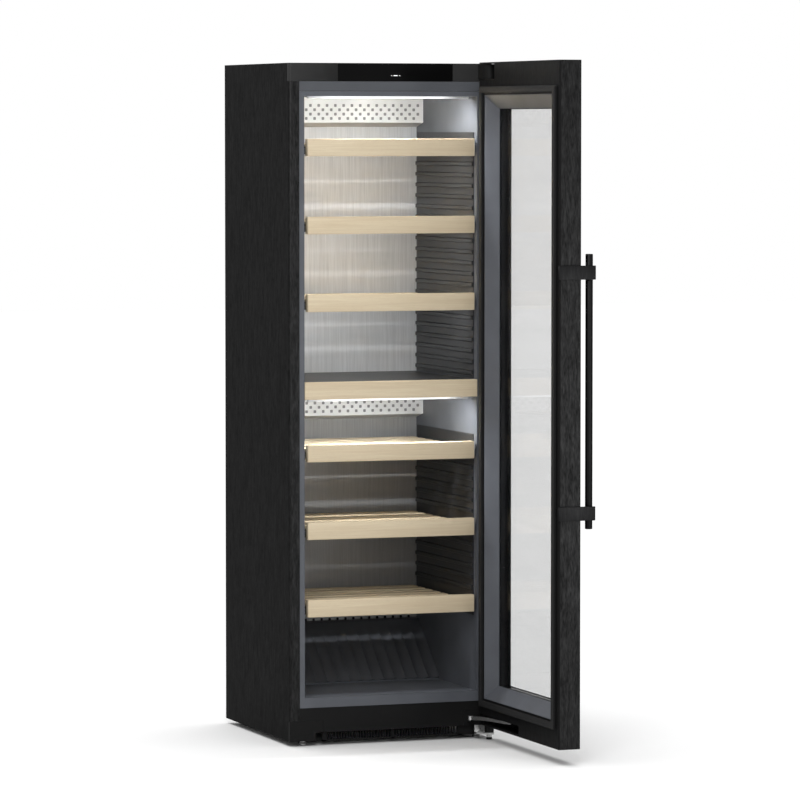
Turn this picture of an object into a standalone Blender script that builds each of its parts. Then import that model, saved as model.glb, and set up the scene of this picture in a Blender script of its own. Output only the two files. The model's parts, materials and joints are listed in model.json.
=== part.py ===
"""Tall two-zone wine cooler: insulated cabinet, hinged glass door and six sliding shelves.

Cabinet frame: X = 0 on the cabinet's middle plane, Y = 0 on the front face of the body (+Y goes
into the cabinet), Z = 0 on the floor. The door is drawn closed and its hinge empty turns it open.
The empty "cabinet" moves all of it so that the object's box is centred on the world origin.
"""

import math

import bmesh
import bpy
from mathutils import Matrix, Vector

# ---- overall sizes, in metres -------------------------------------------------------------
CABINET_WIDTH = 0.597
CABINET_HEIGHT = 1.884
BODY_DEPTH = 0.571
BODY_BASE = 0.0135            # underside of the side panels above the floor
GAP = 0.0003                  # clearance between pieces that touch
OVERLAP = 0.001               # how far shapes joined into one solid reach into each other
SOFT_EDGE = 0.001             # radius of the small mouldings' edges

# ---- body ---------------------------------------------------------------------------------
SKIN = 0.0012                 # sheet steel of the outer panels
SKIN_CORNER = 0.006           # radius of the side panels' front corners
FRONT_RETURN = 0.030          # width of the side panels' folded front edge
REAR_RETURN = 0.015
COVER_FOLD = 0.012            # depth of the top cover's folded edges
SIDE_WALL = 0.0445            # insulated wall, from the cabinet's side to the cavity
BACK_WALL = 0.081
CAVITY_FLOOR = 0.134
LINER = 0.002
FOAM_FLOOR = 0.030            # insulation under the cavity floor
STEP_LEDGE = 0.015            # flat top of the step over the compressor
STEP_RUN = 0.175              # length of its slope
STEP_HEIGHT = 0.152
STEP_THICKNESS = 0.051        # from the step's top to the ceiling of the compressor bay
SILL_HEIGHT = 0.028           # height of the liner's front flange under the cavity floor
LINTEL_HEIGHT = 0.0135        # and over the cavity's ceiling
RAIL_HEIGHT = 0.0275
PANEL_HEIGHT = 0.050
PANEL_DEPTH = 0.012
DISPLAY_LEFT = -0.156
DISPLAY_RIGHT = 0.181
DISPLAY_DEPTH = 0.003
DISPLAY_EDGE = 0.0006
PANEL_END = 0.0303            # from the control panel to the cabinet's right side

# ---- inside -------------------------------------------------------------------------------
STRIP_HEIGHT = 0.048          # height of each shelf's wooden front
DIVIDER_TOP = 1.0065
ZONE_SHELVES = 3              # shelves in each zone
UPPER_BAYS = (0.117, 0.2415)  # ceiling to the top shelf, and lowest shelf to the divider
LOWER_BAYS = (0.1245, 0.271)  # divider to the top shelf, and lowest shelf to the floor
SHELF_SIDE_ROOM = 0.009       # from a shelf to the cavity wall
SHELF_BACK_ROOM = 0.032       # from the last slat to the cavity's back
STRIP_THICKNESS = 0.022
STRIP_PROUD = 0.004           # the wooden fronts stand this far in front of the body
SLAT_COUNT = 7
SLAT_WIDTH = 0.040
SLAT_THICKNESS = 0.010
SLAT_DROP = 0.014             # the slats lie this far under the top of the wooden front
STRINGER_WIDTH = 0.022
STRINGER_HEIGHT = 0.012
STRINGER_INSET = 0.018        # from the shelf's side to its stringer
RUNNER = 0.0015               # sheet of the steel runner frame
RUNNER_HEIGHT = 0.012
RUNNER_FOOT = 0.026
FIRST_SLAT_GAP = 0.004        # between the wooden front and the first slat
RUNNER_TAIL = 0.006           # the runner frame ends this far behind the slats
TIE_WIDTH = 0.020             # flat bars across the runner frame
TIE_INSETS = (0.030, 0.036)   # from the frame's front to the first, from its back to the last
RIB_PITCH = 0.0306
RIB_HEIGHT = 0.013
RIB_PROUD = 0.005
RIB_SLANT = 0.002             # the ribs' edges slope by this much
RACK_PLATE = 0.002
LEDGE_REACH = 0.019           # the shelf ledges stand this far in from the cavity wall
LEDGE_THICKNESS = 0.004
LEDGE_CLEARANCE = 0.002       # from the ledges to the slats
RACK_FRONT = 0.024
RACK_BACK_ROOM = 0.012
RACK_RISE = 0.018             # the racks reach this far above the zone's top shelf
RACK_FALL = 0.060             # and the lower pair this far below the last shelf
RACK_FOOT = 0.002             # from the divider to the upper pair
BACK_PLATE = 0.0015
AIR_BOX_DEPTH = 0.057         # from the perforated fan cover to the cavity's back
AIR_BOX_HEIGHT = 0.072
AIR_BOX_WALL = 0.0015
AIR_BOX_DROP = 0.012          # the cover's underside slopes down to the back by this much
LED_HEIGHT = 0.006
LED_DEPTH = 0.012
LED_FRONT = 0.020
LED_SIDE_ROOM = 0.018
WOOD_EDGE = 0.0015

# ---- base ---------------------------------------------------------------------------------
PLINTH_BOTTOM = 0.0375
PLINTH_THICKNESS = 0.018
PLINTH_SETBACK = 0.0005
FOOT_COVER_TOP = 0.070
FOOT_COVER_WIDTH = 0.098
FOOT_COVER_LEG = 0.0765       # width of its part that reaches down beside the foot
HINGE_COVER_WIDTH = 0.0835
HINGE_COVER_BOTTOM = 0.038
HINGE_COVER_TOP = 0.079
PAN_BOTTOM = 0.034
PAN_SHEET = 0.002
PAN_RIM = 0.024
FOOT_RADIUS = 0.0110
FOOT_THICKNESS = 0.009
FOOT_NECK = 0.0077            # radius of the pad's raised middle
FOOT_EDGE = 0.0015
STEM_RADIUS = 0.005
STEM_TOP = 0.048
FOOT_LEFT_INSET = (0.0485, 0.030)    # from the cabinet's side and its front
FOOT_RIGHT_INSET = (0.0355, 0.028)
ROLLER_RADIUS = 0.016
ROLLER_WIDTH = 0.020
ROLLER_AXLE = 0.003
ROLLER_CHAMFER = 0.002
ROLLER_INSET = (0.0485, 0.041)       # from the cabinet's side and its back
EAR_MARGIN = 0.004            # ear's edge outside the axle
EAR_THICKNESS = 0.002
RUNNING_GAP = 0.0006

# ---- door (drawn closed) --------------------------------------------------------------------
DOOR_BOTTOM = 0.042
DOOR_RISE = 0.003             # the door ends this far above the cabinet
DOOR_THICKNESS = 0.063
DOOR_GAP = 0.009              # between the door's inner face and the body
DOOR_OPEN = 90.0              # degrees the door stands open
HINGE_INSET = 0.020           # hinge axis from the door's side edge
HINGE_DEPTH = 0.024           # hinge axis behind the door's inner face
SIDE_RAIL = 0.042             # width of the black frame outside the grey funnel
TOP_RAIL = 0.090
BOTTOM_RAIL = 0.076
FUNNEL_WIDTH = 0.038
FUNNEL_DEPTH = 0.031
FUNNEL_LIP = 0.002            # thickness of the funnel at the glass and of its flat outer rim
GLASS_SETBACK = 0.0005        # the outer pane lies this far behind the door's outer face
PANE = 0.004
EDGE_BEVEL = 0.0015
GASKET_WIDTH = 0.0185
GASKET_HEIGHT = 0.0082
GASKET_MARGIN = 0.0045        # from the gasket to the funnel
GASKET_FOOT = 0.002           # height of the gasket's narrow foot
GASKET_SHOULDER = 0.003       # its outer edges are this much lower than its crown
PIN_RADIUS = 0.004
PIN_BITE = 0.013              # how far the top hinge's pin reaches into the door
PIN_END = 0.002               # room past a pin's end
LOWER_PIN_BITE = 0.004
NOTCH_HEIGHT = 0.0435         # pocket for the top hinge
NOTCH_LENGTH = 0.116
NOTCH_DEPTH = 0.048
NOTCH_ROOF = 0.0035
HINGE_ARM_HALF = 0.012
HINGE_PLATE = 0.005
HINGE_SHEET = 0.001           # plates on the body's front, which the door's edge swings past
TOP_PLATE_LEFT = 0.020        # the plates' ends, from the hinge axis
TOP_PLATE_MARGIN = 0.004
BOSS_RADIUS = 0.013
BOTTOM_PLATE_Z = 0.0145
BOTTOM_PLATE_LEFT = 0.0325
BOTTOM_PLATE_THICKNESS = 0.004
BOTTOM_PLATE_NOSE = 0.014     # radius of the plate's end round the hinge axis
BOTTOM_PLATE_SHOULDER = 0.0138
BOTTOM_PLATE_STRAIGHT = 0.018 # the plate keeps its full width this far out from the body
PLATE_EDGE_MARGIN = 0.002     # from the hinge plates to the cabinet's side
NUT_RADIUS = 0.0075
NUT_HEIGHT = 0.0075
BEARING_GAP = 0.0012          # between a moving piece and the part that carries it

# ---- closing arm --------------------------------------------------------------------------
ARM_PIVOT_OFFSET = (-0.048, 0.021)   # the arm's pivot and its tip, from the hinge axis
ARM_TIP_OFFSET = (-0.0057, -0.1817)
ARM_LIFT = 0.006              # underside of the arm above the slot's floor
ARM_HEIGHT = 0.0112
ARM_TIP_HEIGHT = 0.0055
ARM_RISE = 0.0055             # the arm is cranked up by this much towards its tip
ARM_THICKNESS = 0.005
ARM_EYE = 0.0065
ARM_PIN = 0.003
ARM_STEPS = 8
ARM_ROOT = 0.6                # the blade starts at this share of the eye's radius
ARM_TAPER = 0.35              # share of its thickness that the blade loses at its tip
SLOT_FLOOR = 0.006            # the door's slot for the arm, above the door's lower end
SLOT_HEIGHT = 0.0243
SLOT_NEAR = -0.0135           # from the hinge axis, along the door
SLOT_FAR = 0.285
SLOT_DEPTH = 0.046
SLOT_RAMP = 0.135             # the slot reaches its full depth this far from the hinge axis
SLOT_OPENING = 0.004          # the cutter stands this far out of the door's face

# ---- handle -------------------------------------------------------------------------------
BAR_RADIUS = 0.010
BAR_BOTTOM = 0.633
BAR_TOP = 1.370
BAR_STANDOFF = 0.027          # bar axis in front of the door's outer face
HANDLE_ARM_THICKNESS = 0.009
HANDLE_ARM_HEIGHT = 0.0375
HANDLE_ARM_INSETS = (0.043, 0.0495)  # from the bar's lower and upper end to the arms
HANDLE_ARM_INNER = 0.007      # past the door's inner face
HANDLE_ARM_OUTER = 0.040      # past the door's outer face
HANDLE_ARM_ROUND = 0.006
BAR_CHAMFER = 0.001

# ---- cooling ------------------------------------------------------------------------------
COMPRESSOR_INSET = (0.1785, 0.086)   # from the cabinet's side and its back
COMPRESSOR_RADIUS = 0.068
COMPRESSOR_HEIGHT = 0.150
COMPRESSOR_WAIST = (0.0585, 0.004)   # radius and height of the pot's lower edge
COMPRESSOR_WIDEST = (0.030, 0.060)   # the pot is at its full radius between these heights
COMPRESSOR_DOME = 0.035
COMPRESSOR_PLATE = 0.006
TRAY_SIZE = (0.130, 0.110, 0.022)
TRAY_WALL = 0.002
CONDENSER_INSET = (0.0635, 0.016)    # from the cabinet's side and its back
CONDENSER_SIZE = (0.140, 0.115, 0.150)
CONDENSER_FINS = 9
FIN = 0.002
FIN_BAR = 0.006
COWL = 0.003
FAN_SHROUD_GAP = 0.004        # between the blades' tips and the cowl's hole
FAN_ROOM = 0.012              # between the condenser fan and the last fin
FAN_RADIUS = 0.044
FAN_DEPTH = 0.016
EVAPORATOR_FAN_RADIUS = 0.026
HUB_SHARE = 0.36              # hub radius over fan radius
BLADES = 5
BLADE_PITCH = 32.0
BLADE = 0.0018
BLADE_CHORD_SHARE = 0.62      # blade width over fan radius
BLADE_ROOT_SHARE = 0.7        # the blades start at this share of the hub's radius
INLET_INSET = 0.0835          # from the cabinet's side
INLET_RISE = 0.085            # above the ceiling of the compressor bay
INLET_SIZE = (0.032, 0.014, 0.026)
INLET_WALL = 0.003

# ---- worked out from the sizes above --------------------------------------------------------
HALF = CABINET_WIDTH / 2
CAVITY_HALF = HALF - SIDE_WALL
CAVITY_DEPTH = BODY_DEPTH - BACK_WALL
RAIL_TOP = CABINET_HEIGHT - PANEL_HEIGHT
FLANGE_TOP = RAIL_TOP - RAIL_HEIGHT
CAVITY_CEILING = FLANGE_TOP - LINTEL_HEIGHT
SILL_BOTTOM = CAVITY_FLOOR - SILL_HEIGHT
STEP_BACK = CAVITY_DEPTH - STEP_LEDGE
STEP_FRONT = STEP_BACK - STEP_RUN
STEP_TOP = CAVITY_FLOOR + STEP_HEIGHT
BAY_CEILING = STEP_TOP - STEP_THICKNESS
FLANGE_HALF = HALF - FRONT_RETURN - GAP
PANEL_RIGHT = HALF - PANEL_END
PAN_HALF = HALF - SKIN - GAP
FOAM_TOP = CABINET_HEIGHT - SKIN - GAP
REAR_PLATE_BACK = BODY_DEPTH - SKIN - GAP
REAR_PLATE_FRONT = REAR_PLATE_BACK - SKIN

DIVIDER_BOTTOM = DIVIDER_TOP - STRIP_HEIGHT
SHELF_HALF_WIDTH = CAVITY_HALF - SHELF_SIDE_ROOM
AIR_BOX_FRONT = CAVITY_DEPTH - AIR_BOX_DEPTH
LED_HALF_WIDTH = CAVITY_HALF - LED_SIDE_ROOM
FOOT_COVER_RIGHT = FOOT_COVER_WIDTH - HALF
FOOT_COVER_NOTCH = FOOT_COVER_LEG - HALF
HINGE_COVER_LEFT = HALF - HINGE_COVER_WIDTH
FOOT_LEFT = (FOOT_LEFT_INSET[0] - HALF, FOOT_LEFT_INSET[1])
FOOT_RIGHT = (HALF - FOOT_RIGHT_INSET[0], FOOT_RIGHT_INSET[1])
ROLLER_PLACE = (HALF - ROLLER_INSET[0], BODY_DEPTH - ROLLER_INSET[1])

DOOR_TOP = CABINET_HEIGHT + DOOR_RISE
DOOR_INNER = -DOOR_GAP
DOOR_OUTER = DOOR_INNER - DOOR_THICKNESS
HINGE_X = HALF - HINGE_INSET
HINGE_Y = DOOR_INNER - HINGE_DEPTH
WINDOW_HALF = HALF - SIDE_RAIL
WINDOW_BOTTOM = DOOR_BOTTOM + BOTTOM_RAIL
WINDOW_TOP = DOOR_TOP - TOP_RAIL
SLOT_BOTTOM = DOOR_BOTTOM + SLOT_FLOOR
SLOT_TOP = SLOT_BOTTOM + SLOT_HEIGHT
ARM_BOTTOM = SLOT_BOTTOM + ARM_LIFT
ARM_PIVOT = (HINGE_X + ARM_PIVOT_OFFSET[0], HINGE_Y + ARM_PIVOT_OFFSET[1])
ARM_TIP = (HINGE_X + ARM_TIP_OFFSET[0], HINGE_Y + ARM_TIP_OFFSET[1])
BAR_Y = DOOR_OUTER - BAR_STANDOFF
ARM_PLATE_X = -HALF - GAP
BAR_X = ARM_PLATE_X + GAP + BAR_RADIUS
HANDLE_ARM_CENTRES = (BAR_BOTTOM + HANDLE_ARM_INSETS[0], BAR_TOP - HANDLE_ARM_INSETS[1])
COMPRESSOR_PLACE = (HALF - COMPRESSOR_INSET[0], BODY_DEPTH - COMPRESSOR_INSET[1])
INLET_PLACE = (HALF - INLET_INSET, BAY_CEILING + INLET_RISE)


def shelf_heights(roof, floor, bays):
    """Heights of a zone's shelves, evenly spaced between its highest and its lowest."""
    first, last = roof - bays[0], floor + bays[1]
    pitch = (first - last) / (ZONE_SHELVES - 1)
    return [first - number * pitch for number in range(ZONE_SHELVES)]


UPPER_TOPS = shelf_heights(CAVITY_CEILING, DIVIDER_TOP, UPPER_BAYS)
LOWER_TOPS = shelf_heights(DIVIDER_BOTTOM, CAVITY_FLOOR, LOWER_BAYS)

MATERIALS = {
    "brushed_black_steel": ((0.020, 0.020, 0.021), 0.34, 1.0),
    "brushed_steel": ((0.62, 0.61, 0.59), 0.30, 1.0),
    "bright_steel": ((0.66, 0.66, 0.66), 0.22, 1.0),
    "galvanised_steel": ((0.42, 0.43, 0.44), 0.45, 1.0),
    "black_plastic": ((0.012, 0.012, 0.013), 0.42, 0.0),
    "dark_plastic": ((0.045, 0.045, 0.047), 0.38, 0.0),
    "grey_plastic": ((0.125, 0.132, 0.150), 0.40, 0.0),
    "pale_plastic": ((0.72, 0.72, 0.70), 0.45, 0.0),
    "display_gloss": ((0.004, 0.004, 0.005), 0.06, 0.0),
    "foam": ((0.80, 0.70, 0.46), 0.90, 0.0),
    "wood": ((0.62, 0.47, 0.30), 0.50, 0.0),
    "rubber": ((0.018, 0.018, 0.018), 0.70, 0.0),
    "clear_glass": ((0.86, 0.90, 0.90), 0.04, 0.0),
    "led": ((0.95, 0.96, 1.0), 0.30, 0.0),
    "satin_steel": ((0.030, 0.030, 0.031), 0.34, 1.0),
    "black_enamel": ((0.016, 0.016, 0.016), 0.35, 0.0),
}


# ---- modelling helpers ----------------------------------------------------------------------
def finish_material(name):
    found = bpy.data.materials.get(name)
    if found:
        return found
    colour, roughness, metallic = MATERIALS[name]
    made = bpy.data.materials.new(name)
    made.use_nodes = True
    shader = made.node_tree.nodes["Principled BSDF"]
    shader.inputs["Base Color"].default_value = (*colour, 1.0)
    shader.inputs["Roughness"].default_value = roughness
    shader.inputs["Metallic"].default_value = metallic
    made.diffuse_color = (*colour, 1.0)
    return made


def new_object(name, bm):
    """Turn a bmesh into an object, with its faces pointing outwards."""
    bmesh.ops.recalc_face_normals(bm, faces=bm.faces)
    mesh = bpy.data.meshes.new(name)
    bm.to_mesh(mesh)
    bm.free()
    made = bpy.data.objects.new(name, mesh)
    bpy.context.scene.collection.objects.link(made)
    return made


def block(name, low, high):
    """A box between two corners."""
    low, high = Vector(low), Vector(high)
    bm = bmesh.new()
    bmesh.ops.create_cube(bm, size=1.0)
    size = Matrix.Diagonal((*(high - low), 1.0))
    bmesh.ops.transform(bm, matrix=Matrix.Translation((low + high) / 2) @ size, verts=bm.verts)
    return new_object(name, bm)


def prism(name, outline, axis, start, end):
    """A flat outline pushed along X, Y or Z. The outline holds the two other coordinates."""
    def point(pair, along):
        values = list(pair)
        values.insert("XYZ".index(axis), along)
        return values

    bm = bmesh.new()
    face = bm.faces.new([bm.verts.new(point(pair, start)) for pair in outline])
    pushed = bmesh.ops.extrude_face_region(bm, geom=[face])
    shift = Vector(point((0, 0), end - start))
    moved = [item for item in pushed["geom"] if isinstance(item, bmesh.types.BMVert)]
    bmesh.ops.translate(bm, verts=moved, vec=shift)
    return new_object(name, bm)


def rod(name, axis, centre, radius, start, end, sides=24):
    """A round bar along X, Y or Z. The centre holds the two other coordinates."""
    return prism(name, arc(centre, radius, 0, 360, sides)[:-1], axis, start, end)


def arc(centre, radius, first, last, steps):
    """Points on an arc, from one angle in degrees to another, both ends included."""
    points = []
    for step in range(steps + 1):
        angle = math.radians(first + (last - first) * step / steps)
        points.append((centre[0] + radius * math.cos(angle), centre[1] + radius * math.sin(angle)))
    return points


def turned(name, axis, centre, profile, sides=24):
    """A solid of revolution: (radius, place along the axis) pairs spun round X, Y or Z."""
    rings = []
    bm = bmesh.new()
    for radius, along in profile:
        ring = []
        for pair in arc(centre, radius, 0, 360, sides)[:-1]:
            values = list(pair)
            values.insert("XYZ".index(axis), along)
            ring.append(bm.verts.new(values))
        rings.append(ring)
    for lower, upper in zip(rings, rings[1:]):
        for step in range(sides):
            after = (step + 1) % sides
            bm.faces.new((lower[step], lower[after], upper[after], upper[step]))
    if profile[0] == profile[-1]:
        bmesh.ops.remove_doubles(bm, verts=bm.verts, dist=1e-6)
    else:
        bm.faces.new(rings[0])
        bm.faces.new(rings[-1])
    return new_object(name, bm)


def picture_frame(name, outer, inner, section):
    """A mitred frame. Outer and inner are (half width, bottom, top); the section holds pairs of
    (share of the way from the outer to the inner rectangle, Y)."""
    loops = []
    bm = bmesh.new()
    for share, depth in section:
        half, bottom, top = (a + (b - a) * share for a, b in zip(outer, inner))
        corners = ((-half, bottom), (half, bottom), (half, top), (-half, top))
        loops.append([bm.verts.new((x, depth, z)) for x, z in corners])
    for here, there in zip(loops, loops[1:] + loops[:1]):
        for side in range(4):
            after = (side + 1) % 4
            bm.faces.new((here[side], here[after], there[after], there[side]))
    return new_object(name, bm)


def boolean(target, operation, *others):
    """Cut the others out of the target, or join them to it, and use them up."""
    for other in others:
        change = target.modifiers.new(operation, "BOOLEAN")
        change.object = other
        change.operation = operation
        change.solver = "EXACT"
        view = bpy.context.evaluated_depsgraph_get()
        result = bpy.data.meshes.new_from_object(target.evaluated_get(view))
        target.modifiers.remove(change)
        target.data = result
        bpy.data.objects.remove(other)
    return target


def cut(target, *others):
    return boolean(target, "DIFFERENCE", *others)


def join(target, *others):
    return boolean(target, "UNION", *others)


def rounded(target, width, segments=2):
    """Round every sharp edge of a piece."""
    bevel = target.modifiers.new("edges", "BEVEL")
    bevel.width = width
    bevel.segments = segments
    bevel.limit_method = "ANGLE"
    bevel.angle_limit = math.radians(40)
    return target


def pivot(name, parent, place, turn=0.0):
    """An empty on a joint's axis, given in the cabinet's frame."""
    made = bpy.data.objects.new(name, None)
    bpy.context.scene.collection.objects.link(made)
    made.parent = parent
    made["place"] = place
    made.location = Vector(place) - Vector(parent["place"] if parent else (0, 0, 0))
    made.rotation_euler.z = turn
    return made


def attach(target, parent, material, smooth=False):
    """Hang a piece, drawn in the cabinet's frame, on its joint's empty."""
    target.data.transform(Matrix.Translation(-Vector(parent["place"])))
    target.parent = parent
    target.data.materials.clear()
    target.data.materials.append(finish_material(material))
    if smooth:
        target.data.shade_smooth()
        target.data.set_sharp_from_angle(angle=math.radians(35))
    return target


# ---- the body -------------------------------------------------------------------------------
def side_panel(name, side, notches, cabinet):
    """A folded sheet: front return, rounded corner, flank and rear return. A notch is the span
    of heights where another piece takes the panel's front corner."""
    outer = [(HALF - FRONT_RETURN, 0.0)]
    outer += arc((HALF - SKIN_CORNER, SKIN_CORNER), SKIN_CORNER, -90, 0, 4)
    outer += [(HALF, BODY_DEPTH), (HALF - REAR_RETURN, BODY_DEPTH)]
    inner_corner = SKIN_CORNER - SKIN
    inner = [(HALF - REAR_RETURN, BODY_DEPTH - SKIN), (HALF - SKIN, BODY_DEPTH - SKIN)]
    inner += arc((HALF - SKIN_CORNER, SKIN_CORNER), inner_corner, 0, -90, 4)
    inner += [(HALF - FRONT_RETURN, SKIN)]
    outline = [(side * x, y) for x, y in outer + inner]
    panel = prism(name, outline, "Z", BODY_BASE, CABINET_HEIGHT)
    left, right = sorted((side * (HALF - FRONT_RETURN - OVERLAP), side * (HALF + OVERLAP)))
    for low, high in notches:
        cut(panel, block("notch", (left, -OVERLAP, low), (right, PANEL_DEPTH + GAP, high)))
    return attach(panel, cabinet, "brushed_black_steel", smooth=True)


def top_cover(cabinet):
    """A sheet with its two long edges folded down between the side panels."""
    edge, fold = PAN_HALF, COVER_FOLD
    top = CABINET_HEIGHT
    outline = [(-edge, top), (-edge, top - fold), (-edge + SKIN, top - fold),
               (-edge + SKIN, top - SKIN), (edge - SKIN, top - SKIN),
               (edge - SKIN, top - fold), (edge, top - fold), (edge, top)]
    cover = prism("top_cover", outline, "Y", PANEL_DEPTH + GAP, REAR_PLATE_FRONT - GAP)
    return attach(cover, cabinet, "brushed_black_steel")


def rear_panel(cabinet):
    panel = block("rear_panel", (-PAN_HALF, REAR_PLATE_FRONT, BAY_CEILING),
                  (PAN_HALF, REAR_PLATE_BACK, CABINET_HEIGHT))
    return attach(panel, cabinet, "galvanised_steel")


def cavity_outline(spare):
    """The cavity's back, step and floor seen from the side, moved outwards by spare."""
    slope = math.atan2(STEP_TOP - CAVITY_FLOOR, STEP_BACK - STEP_FRONT)
    shift = spare * math.tan(slope / 2)
    back = CAVITY_DEPTH + spare
    return [(back, CAVITY_CEILING + spare), (back, STEP_TOP - spare),
            (STEP_BACK + shift, STEP_TOP - spare), (STEP_FRONT + shift, CAVITY_FLOOR - spare)]


def foam_body(cabinet):
    """Insulation poured between the outer skin and the liner."""
    bottom = CAVITY_FLOOR - LINER - GAP - FOAM_FLOOR
    front = LINER + GAP
    back = REAR_PLATE_FRONT - GAP
    lead = FOAM_FLOOR + LINER
    behind_plinth = PLINTH_THICKNESS + GAP
    behind_rail = PANEL_DEPTH + 2 * GAP
    outline = [(behind_plinth, bottom), (STEP_FRONT - lead, bottom),
               (STEP_BACK - lead, BAY_CEILING), (back, BAY_CEILING), (back, FOAM_TOP),
               (behind_rail, FOAM_TOP), (behind_rail, FLANGE_TOP), (front, FLANGE_TOP),
               (front, SILL_BOTTOM), (behind_plinth, SILL_BOTTOM)]
    half = PAN_HALF - SKIN - GAP
    foam = prism("insulation_foam", outline, "X", -half, half)
    hollow = cavity_outline(LINER + GAP)
    hollow += [(-OVERLAP, hollow[-1][1]), (-OVERLAP, hollow[0][1])]
    spare = CAVITY_HALF + LINER + GAP
    cut(foam, prism("hollow", hollow, "X", -spare, spare))
    for side in (-1, 1):
        edges = sorted((side * FLANGE_HALF, side * (HALF + OVERLAP)))
        skin = block("skin", (edges[0], -OVERLAP, bottom - OVERLAP),
                     (edges[1], SKIN_CORNER, FOAM_TOP + OVERLAP))
        cut(foam, skin)
    return attach(foam, cabinet, "foam")


def inner_liner(cabinet):
    """A moulded tub with a front flange, open at the front."""
    outer = cavity_outline(LINER)
    outer += [(OVERLAP, outer[-1][1]), (OVERLAP, outer[0][1])]
    half = CAVITY_HALF + LINER
    liner = prism("inner_liner", outer, "X", -half, half)
    flange = block("flange", (-FLANGE_HALF, 0, SILL_BOTTOM), (FLANGE_HALF, LINER, FLANGE_TOP))
    join(liner, flange)
    inner = cavity_outline(0.0)
    inner += [(-OVERLAP, CAVITY_FLOOR), (-OVERLAP, CAVITY_CEILING)]
    cut(liner, prism("room", inner, "X", -CAVITY_HALF, CAVITY_HALF))
    return attach(liner, cabinet, "grey_plastic")


def front_trim(cabinet):
    """Everything on the front of the body above and below the door opening."""
    rail = block("top_rail", (-FLANGE_HALF, 0, FLANGE_TOP + GAP),
                 (FLANGE_HALF, PANEL_DEPTH, RAIL_TOP - GAP))
    attach(rounded(rail, SOFT_EDGE), cabinet, "grey_plastic")

    housing = block("control_housing", (-HALF, 0, RAIL_TOP),
                    (PANEL_RIGHT, PANEL_DEPTH, CABINET_HEIGHT))
    recess = block("recess", (DISPLAY_LEFT, -OVERLAP, RAIL_TOP - OVERLAP),
                   (DISPLAY_RIGHT, DISPLAY_DEPTH + GAP, CABINET_HEIGHT + OVERLAP))
    cut(housing, recess)
    attach(housing, cabinet, "dark_plastic")
    display = block("control_display", (DISPLAY_LEFT + GAP, 0, RAIL_TOP),
                    (DISPLAY_RIGHT - GAP, DISPLAY_DEPTH, CABINET_HEIGHT))
    attach(rounded(display, DISPLAY_EDGE, 1), cabinet, "display_gloss")

    plinth_top = SILL_BOTTOM - GAP
    outline = [(-FLANGE_HALF, plinth_top), (-FLANGE_HALF, FOOT_COVER_TOP + GAP),
               (FOOT_COVER_RIGHT + GAP, FOOT_COVER_TOP + GAP),
               (FOOT_COVER_RIGHT + GAP, PLINTH_BOTTOM), (HINGE_COVER_LEFT - GAP, PLINTH_BOTTOM),
               (HINGE_COVER_LEFT - GAP, HINGE_COVER_TOP + GAP),
               (FLANGE_HALF, HINGE_COVER_TOP + GAP), (FLANGE_HALF, plinth_top)]
    plinth = prism("plinth", outline, "Y", PLINTH_SETBACK, PLINTH_THICKNESS)
    attach(plinth, cabinet, "black_plastic")

    outline = [(-HALF, BODY_BASE), (FOOT_COVER_NOTCH, BODY_BASE),
               (FOOT_COVER_NOTCH, PLINTH_BOTTOM), (FOOT_COVER_RIGHT, PLINTH_BOTTOM),
               (FOOT_COVER_RIGHT, FOOT_COVER_TOP), (-HALF, FOOT_COVER_TOP)]
    cover = prism("foot_cover", outline, "Y", 0.0, PANEL_DEPTH)
    attach(rounded(cover, SOFT_EDGE), cabinet, "black_plastic")


def base_pan(cabinet):
    """A folded tray under the compressor bay, with the rear rollers' ears and axles."""
    low, high = PAN_BOTTOM, PAN_BOTTOM + PAN_RIM
    edge, sheet = PAN_HALF, PAN_SHEET
    outline = [(-edge, high), (-edge, low), (edge, low), (edge, high),
               (edge - sheet, high), (edge - sheet, low + sheet),
               (-edge + sheet, low + sheet), (-edge + sheet, high)]
    front = PLINTH_THICKNESS + GAP
    pan = prism("base_pan", outline, "Y", front, REAR_PLATE_FRONT - GAP)
    x, y = ROLLER_PLACE
    ear = ROLLER_AXLE + EAR_MARGIN
    for side in (-1, 1):
        ends = []
        for out in (-1, 1):
            inner = side * x + out * (ROLLER_WIDTH / 2 + RUNNING_GAP)
            outer = inner + out * EAR_THICKNESS
            ends.append(outer)
            lo, hi = sorted((inner, outer))
            join(pan, block("ear", (lo, y - ear, ROLLER_RADIUS - ear),
                            (hi, y + ear, low + OVERLAP)))
        axle = rod("axle", "X", (y, ROLLER_RADIUS), ROLLER_AXLE,
                   min(ends) + OVERLAP, max(ends) - OVERLAP, 16)
        join(pan, axle)
    hole = STEM_RADIUS + RUNNING_GAP
    for place in (FOOT_LEFT, FOOT_RIGHT):
        cut(pan, rod("hole", "Z", place, hole, low - OVERLAP, low + sheet + OVERLAP))
    return attach(pan, cabinet, "black_enamel")


def levelling_foot(name, place, cabinet):
    """A round pad on a screwed stem, which turns to set the height."""
    axis = pivot(name + "_axis", cabinet, (*place, 0))
    pad, stem = FOOT_RADIUS, STEM_RADIUS
    profile = [(pad - FOOT_EDGE, 0), (pad, FOOT_EDGE), (pad, FOOT_THICKNESS - FOOT_EDGE),
               (FOOT_NECK, FOOT_THICKNESS), (stem, FOOT_THICKNESS), (stem, STEM_TOP)]
    foot = turned(name, "Z", place, profile)
    return attach(foot, axis, "bright_steel", smooth=True)


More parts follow.
